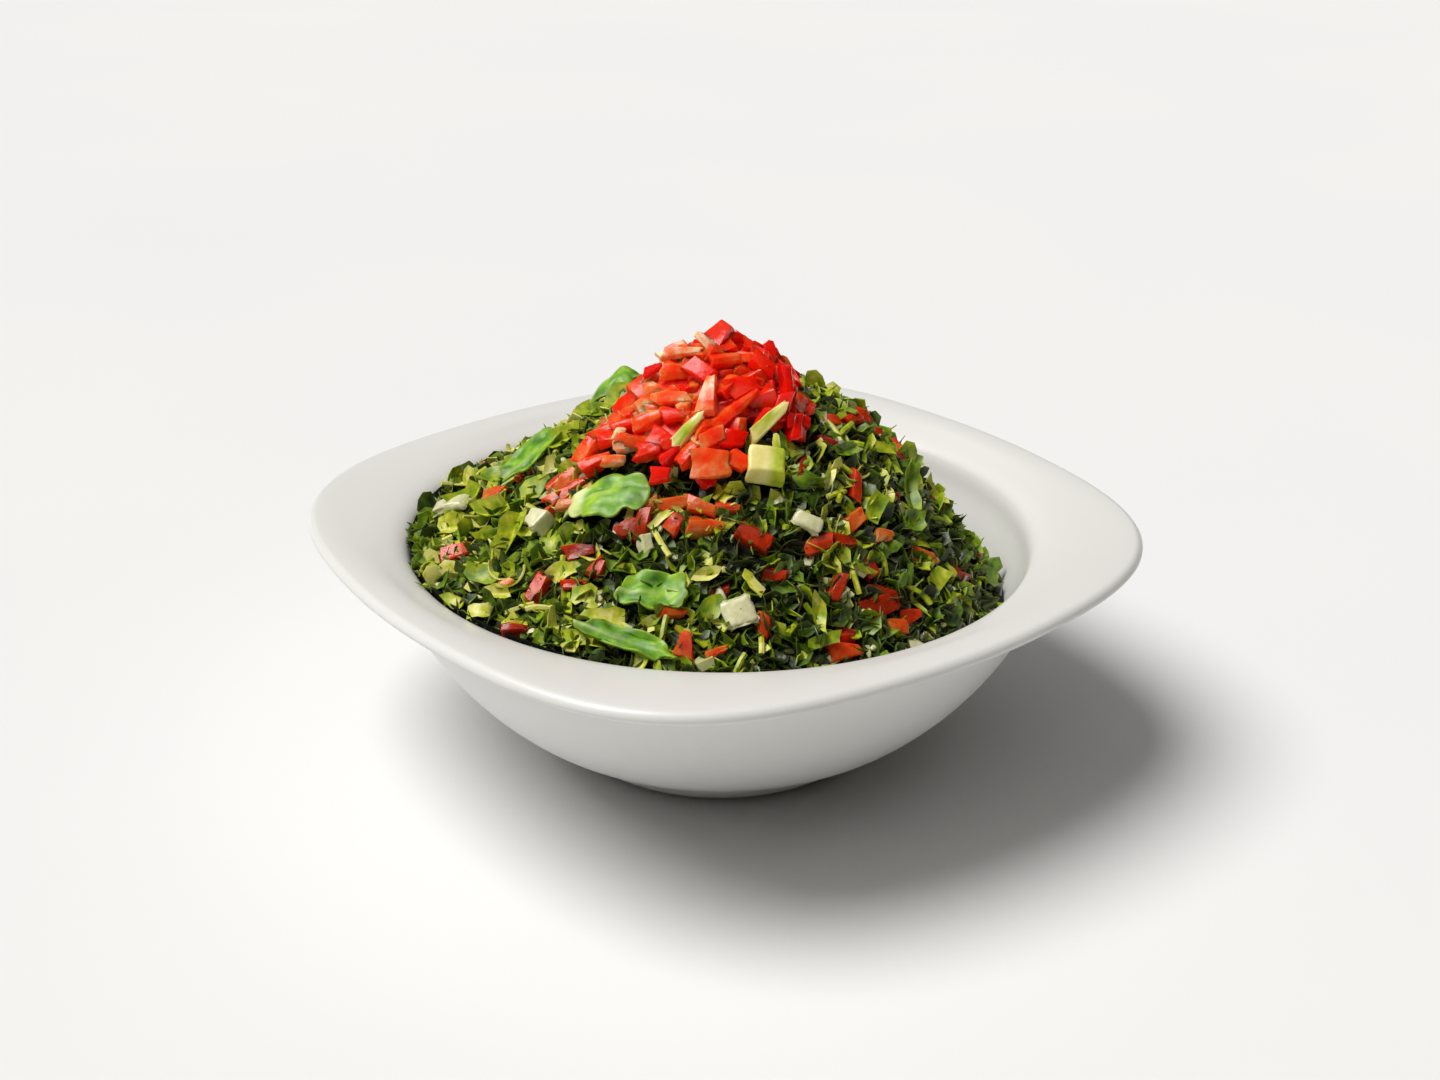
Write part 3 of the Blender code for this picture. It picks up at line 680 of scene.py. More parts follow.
def folded_blade(rng, length, width, curl, twist=0.0):
    """A cut strip of blade, folded along its middle rib, curled along its length and twisted."""
    bm = bmesh.new()
    bmesh.ops.create_grid(bm, x_segments=4, y_segments=2, size=0.5)
    fold = rng.uniform(0.1, 0.9)
    slant = rng.uniform(-0.8, 0.8)
    for vertex in bm.verts:
        u, v = vertex.co.x, vertex.co.y
        taper = 1 - rng.uniform(0.1, 0.7) * abs(2 * u) ** 3 * 0.6
        x = (u + slant * v * 0.4) * length
        y = v * width * taper * rng.uniform(0.8, 1.15)
        rise = fold * abs(y) + curl * x * x / length
        angle = twist * u
        across = y * math.cos(angle) - rise * math.sin(angle)
        vertex.co = (x, across, y * math.sin(angle) + rise * math.cos(angle))
    return with_thickness(bm, "folded_blade", LEAF_THICKNESS, 0.1)


def cut_strips(rng, widths, bends):
    """Folded blades of 5 to 9 mm, one for each pair of a curl and a twist."""
    return [folded_blade(rng, rng.uniform(5, 9) * MM, rng.uniform(*widths) * MM, *bend) for bend in bends]


BLADE_BENDS = [
    (-1.3, 0.6), (-0.8, -1.1), (-0.4, 1.5), (0.4, -0.7), (0.7, 0.9), (1, -1.4), (1.4, 0.4), (-0.2, 1),
]
SHRED_BENDS = [(-1.6, 1.2), (-0.9, -1.4), (0.9, 1.8), (1.5, -0.8), (2.2, 0.6), (-2.2, 1)]

shape_rng = random.Random(21)
ROUNDS = []
for _ in range(14):
    points = shape_rng.choice((6, 7, 8))
    ROUNDS.append(torn_round(shape_rng, points, shape_rng.uniform(3.6, 7) * MM))
LEAFLETS = [leaflet(shape_rng, shape_rng.uniform(5.5, 9) * MM, shape_rng.choice((2, 3))) for _ in range(10)]
BLADES = cut_strips(shape_rng, (2.6, 4.6), BLADE_BENDS)
SHREDS = cut_strips(shape_rng, (1.2, 1.9), SHRED_BENDS)
SHAPES = {"round": ROUNDS, "leaflet": LEAFLETS, "blade": BLADES, "shred": SHREDS}
print("faces:", {name: len(shapes[0].polygons) for name, shapes in SHAPES.items()})

# %% [markdown]
# Moist parsley is a deep green that turns yellow green in places. The tone of each scrap picks a green from a
# ramp, fine noise mottles it, and the cut edge is lifted towards a pale green. The ramp's near black end is
# painted shade and its pale end is partly painted light: lower layers get darker tones, upper layers lighter
# ones, and scraps to the left lighter ones still. Some light is let through the thin blade, which is what
# subsurface scattering does.

# %% Parsley material
# The near black end is painted shade, and the palest end is partly painted light.
GREENS = [
    (0, (4, 6, 1)),
    (0.2, (16, 26, 2)),
    (0.4, (46, 72, 4)),
    (0.6, (100, 133, 8)),
    (0.78, (151, 169, 14)),
    (0.92, (198, 198, 48)),
    (1, (222, 218, 122)),
]


def let_light_in(shader, weight, radius, scale):
    """Lets light run under the surface, furthest in the colours that the radius favours."""
    shader.inputs["Subsurface Weight"].default_value = weight
    shader.inputs["Subsurface Radius"].default_value = radius
    shader.inputs["Subsurface Scale"].default_value = scale


def make_parsley_material():
    gloss = {"Roughness": 0.46, "Coat_Weight": 0.08, "Coat_Roughness": 0.16}
    material, tree, shader = new_material("fresh_parsley", **gloss)
    mottle = between(tree, spots(tree, 380, 3), 0.3, 0.7, -0.17, 0.17)
    tone = add_node(tree, "ShaderNodeMath", {0: attribute(tree, "tone"), 1: mottle}, operation="ADD")
    blade = colour_ramp(tree, tone.outputs["Value"], GREENS)
    rim = between(tree, attribute(tree, "edge"), 0.6, 1, 0, 0.12)
    tree.links.new(mixed(tree, rim, blade, paint(168, 186, 66)), shader.inputs["Base Color"])
    let_light_in(shader, 0.12, (0.6, 1, 0.2), 1 * MM)
    relief(tree, shader, spots(tree, 1100, 2), 0.12 * MM, 0.7)
    return material


parsley = make_parsley_material()
print("greens:", len(GREENS))

# %% [markdown]
# Scraps are laid by a rule, not by hand. A random spot on the slope is chosen, evenly over its real area
# and not over its plan, so that the steep side is covered too. The scrap takes the slope's normal, turns
# freely round it, tilts off it, and is lifted a little for each layer. Near the wall a scrap that would cut
# the porcelain is moved inwards. Scraps may lie under the border of a larger topping, but not under its
# middle. All copies of a layer become one mesh, because thousands of objects would be slow to handle.

# %% Lay pieces on the heap
NEAR_WALL = 66 * MM
WALL_GAP = 0.3 * MM
INWARD_STEP = 0.4 * MM
MOST_STEPS = 24
STEEP_SHARE = 0.4
TOPPING_OVERLAP = 2.2 * MM
# Scattered pieces get lighter tones towards the left and darker ones towards the right: painted light from
# the key on the left.
LEFT_LIGHT_REACH = 480 * MM
ALL_OF_IT = -1


def spot_on_heap(rng):
    """A random point in plan, chosen evenly over the slope's real area."""
    while True:
        angle = rng.uniform(0, math.tau)
        radius = heap_edge(angle) * math.sqrt(rng.random())
        x, y = radius * math.cos(angle), radius * math.sin(angle)
        if rng.random() < STEEP_SHARE / upright(x, y).z:
            return x, y


def laid(x, y, spin, tilt, roll, lift, surface=heap_height):
    """The matrix of a piece that lies on a surface, turned about its normal and tilted off it."""
    normal = upright(x, y, surface)
    stand = normal.to_track_quat("Z", "Y").to_matrix().to_4x4()
    tip = Matrix.Rotation(tilt, 4, "X") @ Matrix.Rotation(roll, 4, "Y")
    place = Vector((x, y, surface(x, y))) + normal * lift
    return Matrix.Translation(place) @ stand @ Matrix.Rotation(spin, 4, "Z") @ tip


def off_the_wall(shape, matrix):
    """Moves a piece inwards until it clears the bowl's wall."""
    place = matrix.translation
    if math.hypot(place.x, place.y) < NEAR_WALL:
        return matrix
    inward = -Vector((place.x, place.y, 0)).normalized() * INWARD_STEP
    inward.z = INWARD_STEP / 4
    for _ in range(MOST_STEPS):
        points = [matrix @ vertex.co for vertex in shape.vertices]
        if all(point.z > wall_height(math.hypot(point.x, point.y)) + WALL_GAP for point in points):
            break
        matrix = Matrix.Translation(inward) @ matrix
    return matrix


def scattered(rng, shapes, count, lift, tilt, tone, under_pile=0.0, from_y=ALL_OF_IT):
    """Placings of a kind of piece over the heap, each a shape, a matrix and a tone. Lift is a range in mm,
    tilt one in degrees. The pile's foot is overlapped by under_pile, and what is before from_y stays bare."""
    placings = []
    while len(placings) < count:
        x, y = spot_on_heap(rng)
        if beyond_pile(x, y) < -under_pile or under_topping(x, y, -TOPPING_OVERLAP) or y < from_y:
            continue
        shape = rng.choice(shapes)
        tip = math.radians(rng.uniform(*tilt))
        roll = math.radians(rng.uniform(-25, 25))
        matrix = laid(x, y, rng.uniform(0, math.tau), tip, roll, rng.uniform(*lift) * MM)
        # The tone falls off with x: painted light from the left.
        placings.append((shape, off_the_wall(shape, matrix), rng.uniform(*tone) - x / LEFT_LIGHT_REACH))
    return placings


def joined(placings):
    """One bmesh of all placings, with each copy's tone stored at its vertices."""
    bm = bmesh.new()
    for shape, matrix, tone in placings:
        copy = shape.copy()
        copy.transform(matrix)
        copy.attributes["tone"].data.foreach_set("value", [tone] * len(copy.vertices))
        bm.from_mesh(copy)
        bpy.data.meshes.remove(copy)
    return bm


FOOT_OVERLAP = 9 * MM
MIXED_SHAPES = ROUNDS * 2 + LEAFLETS + BLADES + SHREDS
TOP_SHAPES = ROUNDS * 2 + LEAFLETS * 2 + BLADES + SHREDS
# Tone ranges run from dark in the low layer to light in the top one: painted shade deep in the heap, painted
# light on top.
LAYERS = {
    "parsley_low": (ROUNDS + BLADES, 2600, (-4, -2.4), (0, 60), (0, 0.22), FOOT_OVERLAP),
    "parsley_middle": (MIXED_SHAPES, 2200, (-3, -1.1), (5, 65), (0.04, 0.62), FOOT_OVERLAP),
    "parsley_top": (TOP_SHAPES, 1500, (-2, -0.4), (5, 65), (0.12, 1.02), FOOT_OVERLAP / 2),
}
rng = random.Random(7)
for name, layer in LAYERS.items():
    finished(name, joined(scattered(rng, *layer)), parsley, "salad_heap", sharp_angle=60)

# %% [markdown]
# Stalks are cut into short rods, and thin ribs curl up as they dry. A stalk is a hexagon, spun through a
# small arc. A curl is a narrow strip, bent round most of a circle.

# %% Stalks and curls
def closed_shape(bm, name):
    """Stores a closed bmesh as a mesh that copies are made from."""
    bm.verts.layers.float.new("edge")
    bm.verts.layers.float.new("tone")
    bmesh.ops.recalc_face_normals(bm, faces=bm.faces)
    mesh = bpy.data.meshes.new(name)
    bm.to_mesh(mesh)
    bm.free()
    return mesh


def stalk(length, radius, bend):
    """A bent rod: a small hexagon, spun through a few degrees round a far centre."""
    bm = bmesh.new()
    bmesh.ops.create_circle(bm, segments=6, radius=radius)
    away = length / bend
    bmesh.ops.spin(bm, geom=bm.verts[:] + bm.edges[:], axis=(0, 1, 0), cent=(away, 0, 0), angle=bend, steps=4)
    bmesh.ops.holes_fill(bm, edges=[edge for edge in bm.edges if edge.is_boundary], sides=6)
    bmesh.ops.rotate(bm, verts=bm.verts, cent=(0, 0, 0), matrix=Matrix.Rotation(math.pi / 2, 3, "Y"))
    middle = sum((vertex.co for vertex in bm.verts), Vector()) / len(bm.verts)
    bmesh.ops.translate(bm, verts=bm.verts, vec=-middle)
    return closed_shape(bm, "stalk")


def curl(length, width, bend):
    """A narrow strip, bent round an arc and drawn out a little to one side, as a spring is."""
    bm = bmesh.new()
    bmesh.ops.create_grid(bm, x_segments=8, y_segments=1, size=0.5)
    radius = length / bend
    for vertex in bm.verts:
        angle = vertex.co.x * bend
        across = vertex.co.y * width * (1 - 1.2 * vertex.co.x**2) + 0.1 * radius * angle
        vertex.co = (radius * math.sin(angle), across, radius * (1 - math.cos(angle)))
    return with_thickness(bm, "curl", LEAF_THICKNESS * 1.3, 0.5)


STALKS = [stalk(shape_rng.uniform(5, 9) * MM, 0.75 * MM, bend) for bend in (0.3, 0.7, 1.1, 0.5)]
CURLS = [curl(shape_rng.uniform(9, 14) * MM, 1.8 * MM, bend) for bend in (1.8, 2.6, 3.4, 4.2)]
stalk_placings = scattered(rng, STALKS, 110, (-1, 0.4), (-25, 25), (0.7, 0.98))
stalk_placings += scattered(rng, CURLS, 50, (-1, 0.4), (20, 90), (0.7, 0.98))
finished("parsley_stalks", joined(stalk_placings), parsley, "salad_heap")

# %% [markdown]
# Diced tomato is cut by hand, so a dice is a block whose corners are out of square, tapered and a little
# bent, with its edges softened by bevel. One side keeps the skin, which is deeper red and glossier than the
# wet flesh. That side is stored at its vertices as "skin".

# %% Tomato dice and their material
FRESH_REDS = [
    (0, (196, 6, 2)),
    (0.28, (248, 26, 6)),
    (0.5, (255, 58, 12)),
    (0.7, (255, 108, 36)),
    (0.88, (255, 158, 92)),
    (1, (255, 218, 172)),
]
DRESSED_REDS = [
    (0, (108, 20, 7)),
    (0.25, (168, 48, 16)),
    (0.45, (232, 60, 20)),
    (0.65, (226, 110, 34)),
    (0.85, (226, 152, 70)),
    (1, (238, 188, 128)),
]


def make_tomato_material(name, reds):
    material, tree, shader = new_material(name, Coat_Weight=0.12, Coat_Roughness=0.12, IOR=1.36)
    streak = between(tree, spots(tree, 240, 4, 0.6), 0.35, 0.7, -0.2, 0.28)
    flesh = add_node(tree, "ShaderNodeMath", {0: attribute(tree, "tone"), 1: streak}, operation="ADD")
    cut = colour_ramp(tree, flesh.outputs["Value"], reds)
    peel = mixed(tree, 0.45, cut, paint(*reds[1][1]))
    tree.links.new(mixed(tree, attribute(tree, "skin"), cut, peel), shader.inputs["Base Color"])
    tree.links.new(between(tree, attribute(tree, "skin"), 0, 1, 0.36, 0.22), shader.inputs["Roughness"])
    let_light_in(shader, 0.8, (1, 0.25, 0.12), 4 * MM)
    relief(tree, shader, spots(tree, 420, 3), 0.4 * MM, 0.7)
    return material


DICE_WEDGE = 0.6
DICE_SLANT = 0.35
DICE_BEND = 0.2
DICE_ROUNDING = 0.25 * MM
SKIN_FROM = 0.3
DICE_SIZES = [
    (7.6, 6.6, 4.4), (9.5, 5.6, 3), (6.8, 6, 5), (11.5, 4.4, 2.6),
    (8.6, 6, 2.2), (6, 4.6, 3.4), (5, 3.8, 2.6), (4.4, 4, 3),
]


def soften(bm, least_angle, rounding, segments):
    """Bevels the edges whose faces turn by more than the least angle."""
    sharp = [edge for edge in bm.edges if edge.calc_face_angle(0) > least_angle]
    bmesh.ops.bevel(
        bm, geom=sharp, offset=rounding, offset_type="OFFSET", affect="EDGES", segments=segments,
        profile=0.5, material=-1,
    )


def dice(rng, size, name="dice"):
    """A hand-cut block: wedged, wavy, out of square, with softened edges."""
    bm = bmesh.new()
    bmesh.ops.create_cube(bm, size=1)
    bmesh.ops.subdivide_edges(bm, edges=bm.edges[:], cuts=1, use_grid_fill=True)
    flank, tail = rng.uniform(0, DICE_WEDGE), rng.uniform(0, DICE_WEDGE)
    slant = rng.uniform(-DICE_SLANT, DICE_SLANT)
    for vertex in bm.verts:
        vertex.co.y *= (1 - flank * (vertex.co.z + 0.5)) * (1 - tail * (vertex.co.x + 0.5))
        vertex.co.z *= 1 - tail / 2 * (vertex.co.x + 0.5)
        vertex.co.x += slant * vertex.co.y
        uneven = Vector([rng.uniform(0.8, 1.14) for _ in range(3)])
        vertex.co = vertex.co * Vector(size) * uneven
        vertex.co.z -= DICE_BEND * vertex.co.x**2 / size[0]
    soften(bm, 0.8, DICE_ROUNDING, 1)
    skin = bm.verts.layers.float.new("skin")
    for vertex in bm.verts:
        vertex[skin] = 1 if vertex.co.z > size[2] * SKIN_FROM else 0
    return closed_shape(bm, name)


tomato = make_tomato_material("cut_tomato", FRESH_REDS)
dressed_tomato = make_tomato_material("dressed_tomato", DRESSED_REDS)
DICE = [dice(shape_rng, [side * MM for side in size]) for size in DICE_SIZES * 3]
print("faces of a dice:", len(DICE[0].polygons))

# %% Tomato pile
PILE_DICE = 200
PILE_CORE_STEPS = 48
PILE_CORE_RINGS = 8
PILE_CORE_TONE = 0.3
PILE_CORE_SHARE = 0.8
PILE_CORE_LEAST = 0.5 * MM
DICE_INSET = 3.4 * MM
DICE_LOWEST = -4.2 * MM
DICE_LAYER = 2.2 * MM
DICE_BEHIND = 1 * MM
# Tomato gets lighter tones towards the left and darker ones towards the right: painted light from the key on
# the left.
PILE_LEFT_LIGHT_REACH = 110 * MM
GOLDEN_ANGLE = math.pi * (3 - math.sqrt(5))


def make_pile_core():
    """The pile's inner body, dark red, a little below its dice."""
    bm = double_cone(PILE_CORE_RINGS, PILE_CORE_STEPS)
    for vertex in bm.verts:
        share = math.hypot(vertex.co.x, vertex.co.y) * PILE_CORE_SHARE
        angle = math.atan2(vertex.co.y, vertex.co.x)
        x = PILE_CENTRE.x + pile_reach(angle) * share * math.cos(angle)
        y = PILE_CENTRE.y + pile_reach(angle) * share * math.sin(angle)
        floor = heap_height(x, y) + REST_GAP
        top = max(pile_height(x, y) - PILE_SINK, floor + PILE_CORE_LEAST)
        vertex.co = (x, y, floor if vertex.co.z < -1e-6 else top)
    tone = bm.verts.layers.float.new("tone")
    bm.verts.layers.float.new("skin")
    for vertex in bm.verts:
        # The core too is lighter to the left: painted light.
        vertex[tone] = PILE_CORE_TONE - vertex.co.x / PILE_LEFT_LIGHT_REACH
    return finished("tomato_core", bm, tomato, "tomato_pile")


def pile_placings(rng):
    """Dice over the pile. The first ones lie deep and get dark tones, which is painted shade; the later ones
    lie high and get bright tones, which is painted light, as are the lighter tones towards the left. Steps of
    the golden angle spread them evenly all round."""
    placings = []
    for index in range(PILE_DICE):
        angle = index * GOLDEN_ANGLE
        order = index / PILE_DICE
        reach = (pile_reach(angle) - DICE_INSET) * math.sqrt(rng.random())
        x = PILE_CENTRE.x + reach * math.cos(angle)
        y = PILE_CENTRE.y + reach * math.sin(angle)
        if CUCUMBER.covers(x, y, 1 * MM):
            continue
        shape = rng.choice(DICE)
        tip, roll = math.radians(rng.uniform(-50, 50)), math.radians(rng.uniform(-40, 40))
        lift = DICE_LOWEST + DICE_LAYER * order + (DICE_BEHIND if y > 0 else 0)
        matrix = laid(x, y, rng.uniform(0, math.tau), tip, roll, lift, pile_height)
        # The tone rises with order and towards the left: painted shade low down, painted light on top and on
        # the left.
        tone = rng.uniform(0.2, 0.5) + 0.35 * order - x / PILE_LEFT_LIGHT_REACH
        placings.append((shape, under_the_top(shape, matrix), tone))
    return placings


def under_the_top(shape, matrix):
    """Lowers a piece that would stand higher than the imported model."""
    top = max((matrix @ vertex.co).z for vertex in shape.vertices)
    return Matrix.Translation((0, 0, min(cad_box[1].z - top, 0))) @ matrix


make_pile_core()
pile = pile_placings(random.Random(5))
finished("tomato_dice", joined(pile), tomato, "tomato_pile", sharp_angle=28)
print("dice:", len(pile))

# %% [markdown]
# The pieces that show most have a place of their own. Each is a row of numbers: its place in plan, its
# length and width in mm, its angle as the camera sees it in degrees, and its tone. It lies on the salad as
# the rest do, but leans towards the camera, because a cut face that catches the light is what stands out.

# %% Helpers for single pieces
DEPTH_SHARE = 0.6


def facing(x, y, surface, angle, lift, lean):
    """The matrix of a piece that lies on a surface, leans towards the camera, and runs at an angle to it."""
    normal = upright(x, y, surface).lerp(backward, lean).normalized()
    upward = backward.cross(rightward)
    along = rightward * math.cos(angle) + upward * math.sin(angle)
    along = (along - normal * along.dot(normal)).normalized()
    turn = Matrix((along, normal.cross(along), normal)).transposed().to_4x4()
    return Matrix.Translation(Vector((x, y, surface(x, y))) + normal * lift) @ turn


def single_dice(rng, rows, surface, top, lean=0.5):
    """Placings of unlike blocks, each from a row, whose upper sides stand as high as top."""
    placings = []
    for x, y, length, width, angle, tone in rows:
        depth = width * DEPTH_SHARE * MM
        shape = dice(rng, (length * MM, width * MM, depth))
        matrix = facing(x * MM, y * MM, surface, math.radians(angle), top - depth / 2, lean)
        placings.append((shape, off_the_wall(shape, under_the_top(shape, matrix)), tone))
    return placings


lean_at_front = facing(0, -60 * MM, heap_height, 0, 0, 0.5).col[2]
print("leaning halfway at the front:", [round(part, 2) for part in lean_at_front[:3]])

# %% Single pieces of the pile
PILE_PIECES = [
    (0, -6, 9, 8, 60, 0.42), (-2.5, -9, 7, 3, -55, 1), (4, -3, 5, 4, 0, 0.1), (12, 1, 6, 5, 80, 0),
    (-8, -11, 9, 3.5, 0, 0.92), (-15, -14, 5, 3, 20, 0.1), (-8.5, -16.5, 8.5, 5.5, -10, 0.66),
    (0, -24.5, 10, 6.5, 80, 0.88), (8, -19.5, 8, 7, 20, 0.4), (6.5, -26.5, 17, 5, 42, 0.5),
    (-7.5, -27.5, 7, 5.5, 0, 0.38), (-9, -23.5, 9, 3.5, 0, 0.8), (19, -16.5, 15, 4.5, 90, 0.06),
    (18, -21, 8, 5, 70, 0.12), (22, -22, 6, 5.5, 0, 0), (2.5, -37.5, 10, 8, 0, 0.74),
    (-9.5, -38.5, 5, 5, 0, 0.15), (-14.5, -26.5, 8, 6, 20, 0.7), (-16, -31, 6, 5, -20, 0.52),
    (-7.5, -35.5, 6, 5, 40, 0.08), (7.5, -31.5, 6, 5, 0, 0.12), (2.5, -33, 7, 5, 30, 0.66),
    (-10, -32, 7, 5, -30, 0.4), (-26, -24, 7, 5.5, 20, 0.58), (-20.5, -25.5, 7, 4, 10, 0.5),
    (-20, -30, 5, 4.5, 0, 0.9), (-30, -25.5, 8, 6.5, 60, 0.6), (-22, -32, 6, 3.5, 0, 0.76),
    (12, -12, 7, 5, -40, 0.3), (3, -14, 8, 5, 15, 0.56), (-3, -18, 7, 4.5, -35, 0.3),
    (14, -25, 6, 4, 60, 0.3), (-27, -30, 8, 6, 20, 0.56), (-13, -33, 7, 5, 10, 0.45),
    (-18, -30, 7, 5, -20, 0.66), (22, -23, 7, 6, 80, 0.1), (-23, -27, 8, 6, -10, 0.5),
    (-3, -36, 7, 5, 50, 0.5), (9, -35, 6, 5, -30, 0.56),
]
pile_pieces = single_dice(random.Random(11), PILE_PIECES, pile_height, 1.6 * MM)
finished("tomato_slices", joined(pile_pieces), tomato, "tomato_pile", sharp_angle=28)

# %% Tomato bits in the salad
BEHIND = 4 * MM
SALAD_TOMATO = [
    (-63, -34, 8, 6.5, 20, 0.5), (-37, -55.5, 8, 6, 70, 0.46), (-28, -48, 8, 5, 10, 0.1),
    (1, -69, 7, 6, 80, 0.52), (37.5, -56, 9, 6, 10, 0.46), (2.5, -45, 9, 7, 0, 0.68),
    (14.5, -45, 9, 7, -30, 0.28), (37, -23, 8, 5.5, 80, 0.3), (54.5, -21, 8, 6, 0, 0.6),
    (44.5, -42.5, 8, 6, 20, 0.1), (35, -45, 7, 5, 60, 0.32), (-38.5, -32.5, 8, 4, 50, 0.56),
    (-22.5, -53, 6, 4.5, 60, 0.4), (-27.5, -56.5, 6, 4, 0, 0.34), (-39.5, -69, 6, 4, 0, 0.1),
    (-59, -10.5, 6, 5, 0, 0.7), (-45.5, -52.5, 5, 4, 40, 0.78), (-36, -30, 7, 5, 30, 0.6),
    (-33, -34, 7, 5, 0, 0.9), (-29, -33, 6, 4, 60, 0.66), (-25, -36, 6, 4, 20, 0.5),
    (-38, -25, 6, 4, 40, 0.56), (-13, -44.5, 8, 4, 80, 0.34), (35, 8, 6, 4, 0, 0.3),
    (39, 3, 6, 4, 20, 0.2), (29.5, -40.5, 7, 4.5, 20, 0.4), (35, -36.5, 6, 4.5, 0, 0.15),
    (-2.5, -62.5, 6, 4.5, 0, 0.62), (8.5, -68.5, 6, 4.5, 30, 0.64), (18.5, -59.5, 6, 4.5, 80, 0.5),
    (29, -7.5, 5, 3.5, 0, 0.46), (34, 1, 6, 4, 30, 0.3), (37.5, -30.5, 6, 4.5, 40, 0.62),
    (44.5, -27.5, 5, 4, 0, 0.8), (46, -39.5, 7, 6, 0, 0.04), (52.5, -38, 6, 5, 20, 0.3),
    (49.5, -43, 5, 4, 0, 0.72), (-16, -45, 6, 4, 30, 0.2), (20, -50, 6, 4, 0, 0.3),
    (-6, -41, 7, 5, 10, 0.7), (1, -41.5, 8, 5, -20, 0.6), (-11.5, -40.5, 6, 4.5, 40, 0.85),
    (7.5, -41, 6, 4.5, 0, 0.5), (-31, -29, 8, 6, 20, 0.55), (-35, -26, 7, 5, 50, 0.7),
    (-5, -45, 5, 4, 60, 0.4), (24, -28, 7, 5, 80, 0.1),
]
BIT_SIZES = [(7, 6, 5.2), (6, 5, 4.4), (8, 4.6, 3.8), (5.4, 5, 4.6)]
BITS = [dice(shape_rng, [side * MM for side in size], "tomato_bit") for size in BIT_SIZES * 2]
bit_placings = single_dice(random.Random(13), SALAD_TOMATO, heap_height, 1.3 * MM, 0.45)
bit_placings += scattered(rng, BITS, 34, (-3, -1.4), (-45, 45), (0, 0.6))
bit_placings += scattered(rng, BITS, 34, (-1.8, -0.4), (-45, 45), (0, 0.7), from_y=BEHIND)
finished("tomato_bits", joined(bit_placings), dressed_tomato, "salad_heap", sharp_angle=28)

# %% Bright leaves
BRIGHT_LEAVES = [
    (-47.5, -36, 13, 6, 80, 0.84), (-68, -19.5, 9, 6, 0, 0.94), (-24.5, -59.5, 6, 5, 0, 0.84),
    (-31, -52.5, 7, 5, 30, 0.96), (-18, -66.5, 9, 6, 0, 0.9), (-39, -6.5, 8, 7, 0, 0.78),
    (-70, 15.5, 8, 5.5, 60, 0.68), (-22, -72, 15, 4, -5, 0.84), (-51, -63, 6, 4, 0, 0.94),
    (-46.5, -55.5, 6, 4, 0, 0.94), (4, -54, 6, 3.5, 0, 1), (15, -53, 7, 2.5, -50, 0.9),
    (-8.5, -44, 7, 2, 40, 1), (30.5, -52.5, 7, 4, 70, 0.84), (32, -57, 8, 3, 20, 0.7),
    (41.5, -24, 8, 5, 60, 0.72), (33.5, -16, 6, 4, 30, 0.6), (41, -3, 9, 3, 0, 0.84),
    (49, -6.5, 13, 4.5, 85, 0.64), (50.5, -16, 6, 6, 0, 0.6), (57.5, -24, 7, 5, 40, 0.84),
    (70, 1.5, 9, 5, 0, 0.55), (55, 12, 9, 3, -40, 0.94), (44.5, -17, 6, 2.5, 80, 0.94),
    (30.5, -25.5, 6, 2.5, 70, 0.96), (48, 13, 7, 5, 0, 0.6), (-27, 1, 8, 6, 30, 0.78),
    (-32, -1, 8, 5, -30, 0.68), (-37, 5, 8, 5, 60, 0.82), (-23, -1, 7, 5, 80, 0.74),
    (-55, -22, 9, 6, 20, 0.8), (-66, -6, 9, 6, 50, 0.76), (-52, -48, 9, 5, -30, 0.72),
    (-60, 4, 10, 6, 20, 0.7), (-44, -22, 9, 6, 10, 0.72), (-35, -44, 8, 5, -50, 0.74),
    (6, -60, 8, 5, 40, 0.66), (24, -30, 9, 5, -30, 0.6),
]


def single_leaves(rng, rows, lift):
    """Placings of folded leaf bits, each from a row."""
    placings = []
    for x, y, length, width, angle, tone in rows:
        shape = folded_blade(rng, length * MM, width * MM, rng.uniform(-1.2, 1.2), rng.uniform(-0.8, 0.8))
        matrix = facing(x * MM, y * MM, heap_height, math.radians(angle), lift, 0.45)
        placings.append((shape, off_the_wall(shape, matrix), tone))
    return placings


bright_leaves = single_leaves(random.Random(17), BRIGHT_LEAVES, 0.6 * MM)
bright_leaves += scattered(rng, LEAFLETS, 60, (-0.8, 0.4), (5, 50), (0.6, 0.95), from_y=BEHIND)
finished("bright_leaves", joined(bright_leaves), parsley, "salad_heap", sharp_angle=60)

# %% [markdown]
# Onion is pale and lets light through, so its edges glow a little. Small dice of it, and grains of cracked
# wheat, are the light specks in the salad. The larger slices and the cube are nodes of their own in the
# model, so each is made where its node is: a block with softened edges, turned as the slope is.

# %% Onion and grain
ONION_TINTS = [(0.3, (212, 210, 158)), (0.55, (232, 228, 188)), (0.75, (246, 240, 214))]
ONION_SIZES = [(4.8, 4.2, 2.4), (3.6, 3.2, 2.2)]


def make_onion_material():
    material, tree, shader = new_material("moist_onion", Roughness=0.28, Coat_Weight=0.3, Coat_Roughness=0.12)
    layer = spots(tree, 900, 3, 0.5, (1, 0.25, 1))
    pale = colour_ramp(tree, layer, ONION_TINTS)
    tint = mixed(tree, attribute(tree, "tone"), paint(166, 172, 92), pale)
    tree.links.new(tint, shader.inputs["Base Color"])
    let_light_in(shader, 0.35, (1, 1, 0.7), 2 * MM)
    relief(tree, shader, layer, 0.15 * MM, 0.6)
    return material


def grain(length, width):
    bm = bmesh.new()
    bmesh.ops.create_icosphere(bm, subdivisions=1, radius=0.5)
    bmesh.ops.scale(bm, verts=bm.verts, vec=(length, width, width * 0.85))
    return closed_shape(bm, "grain")


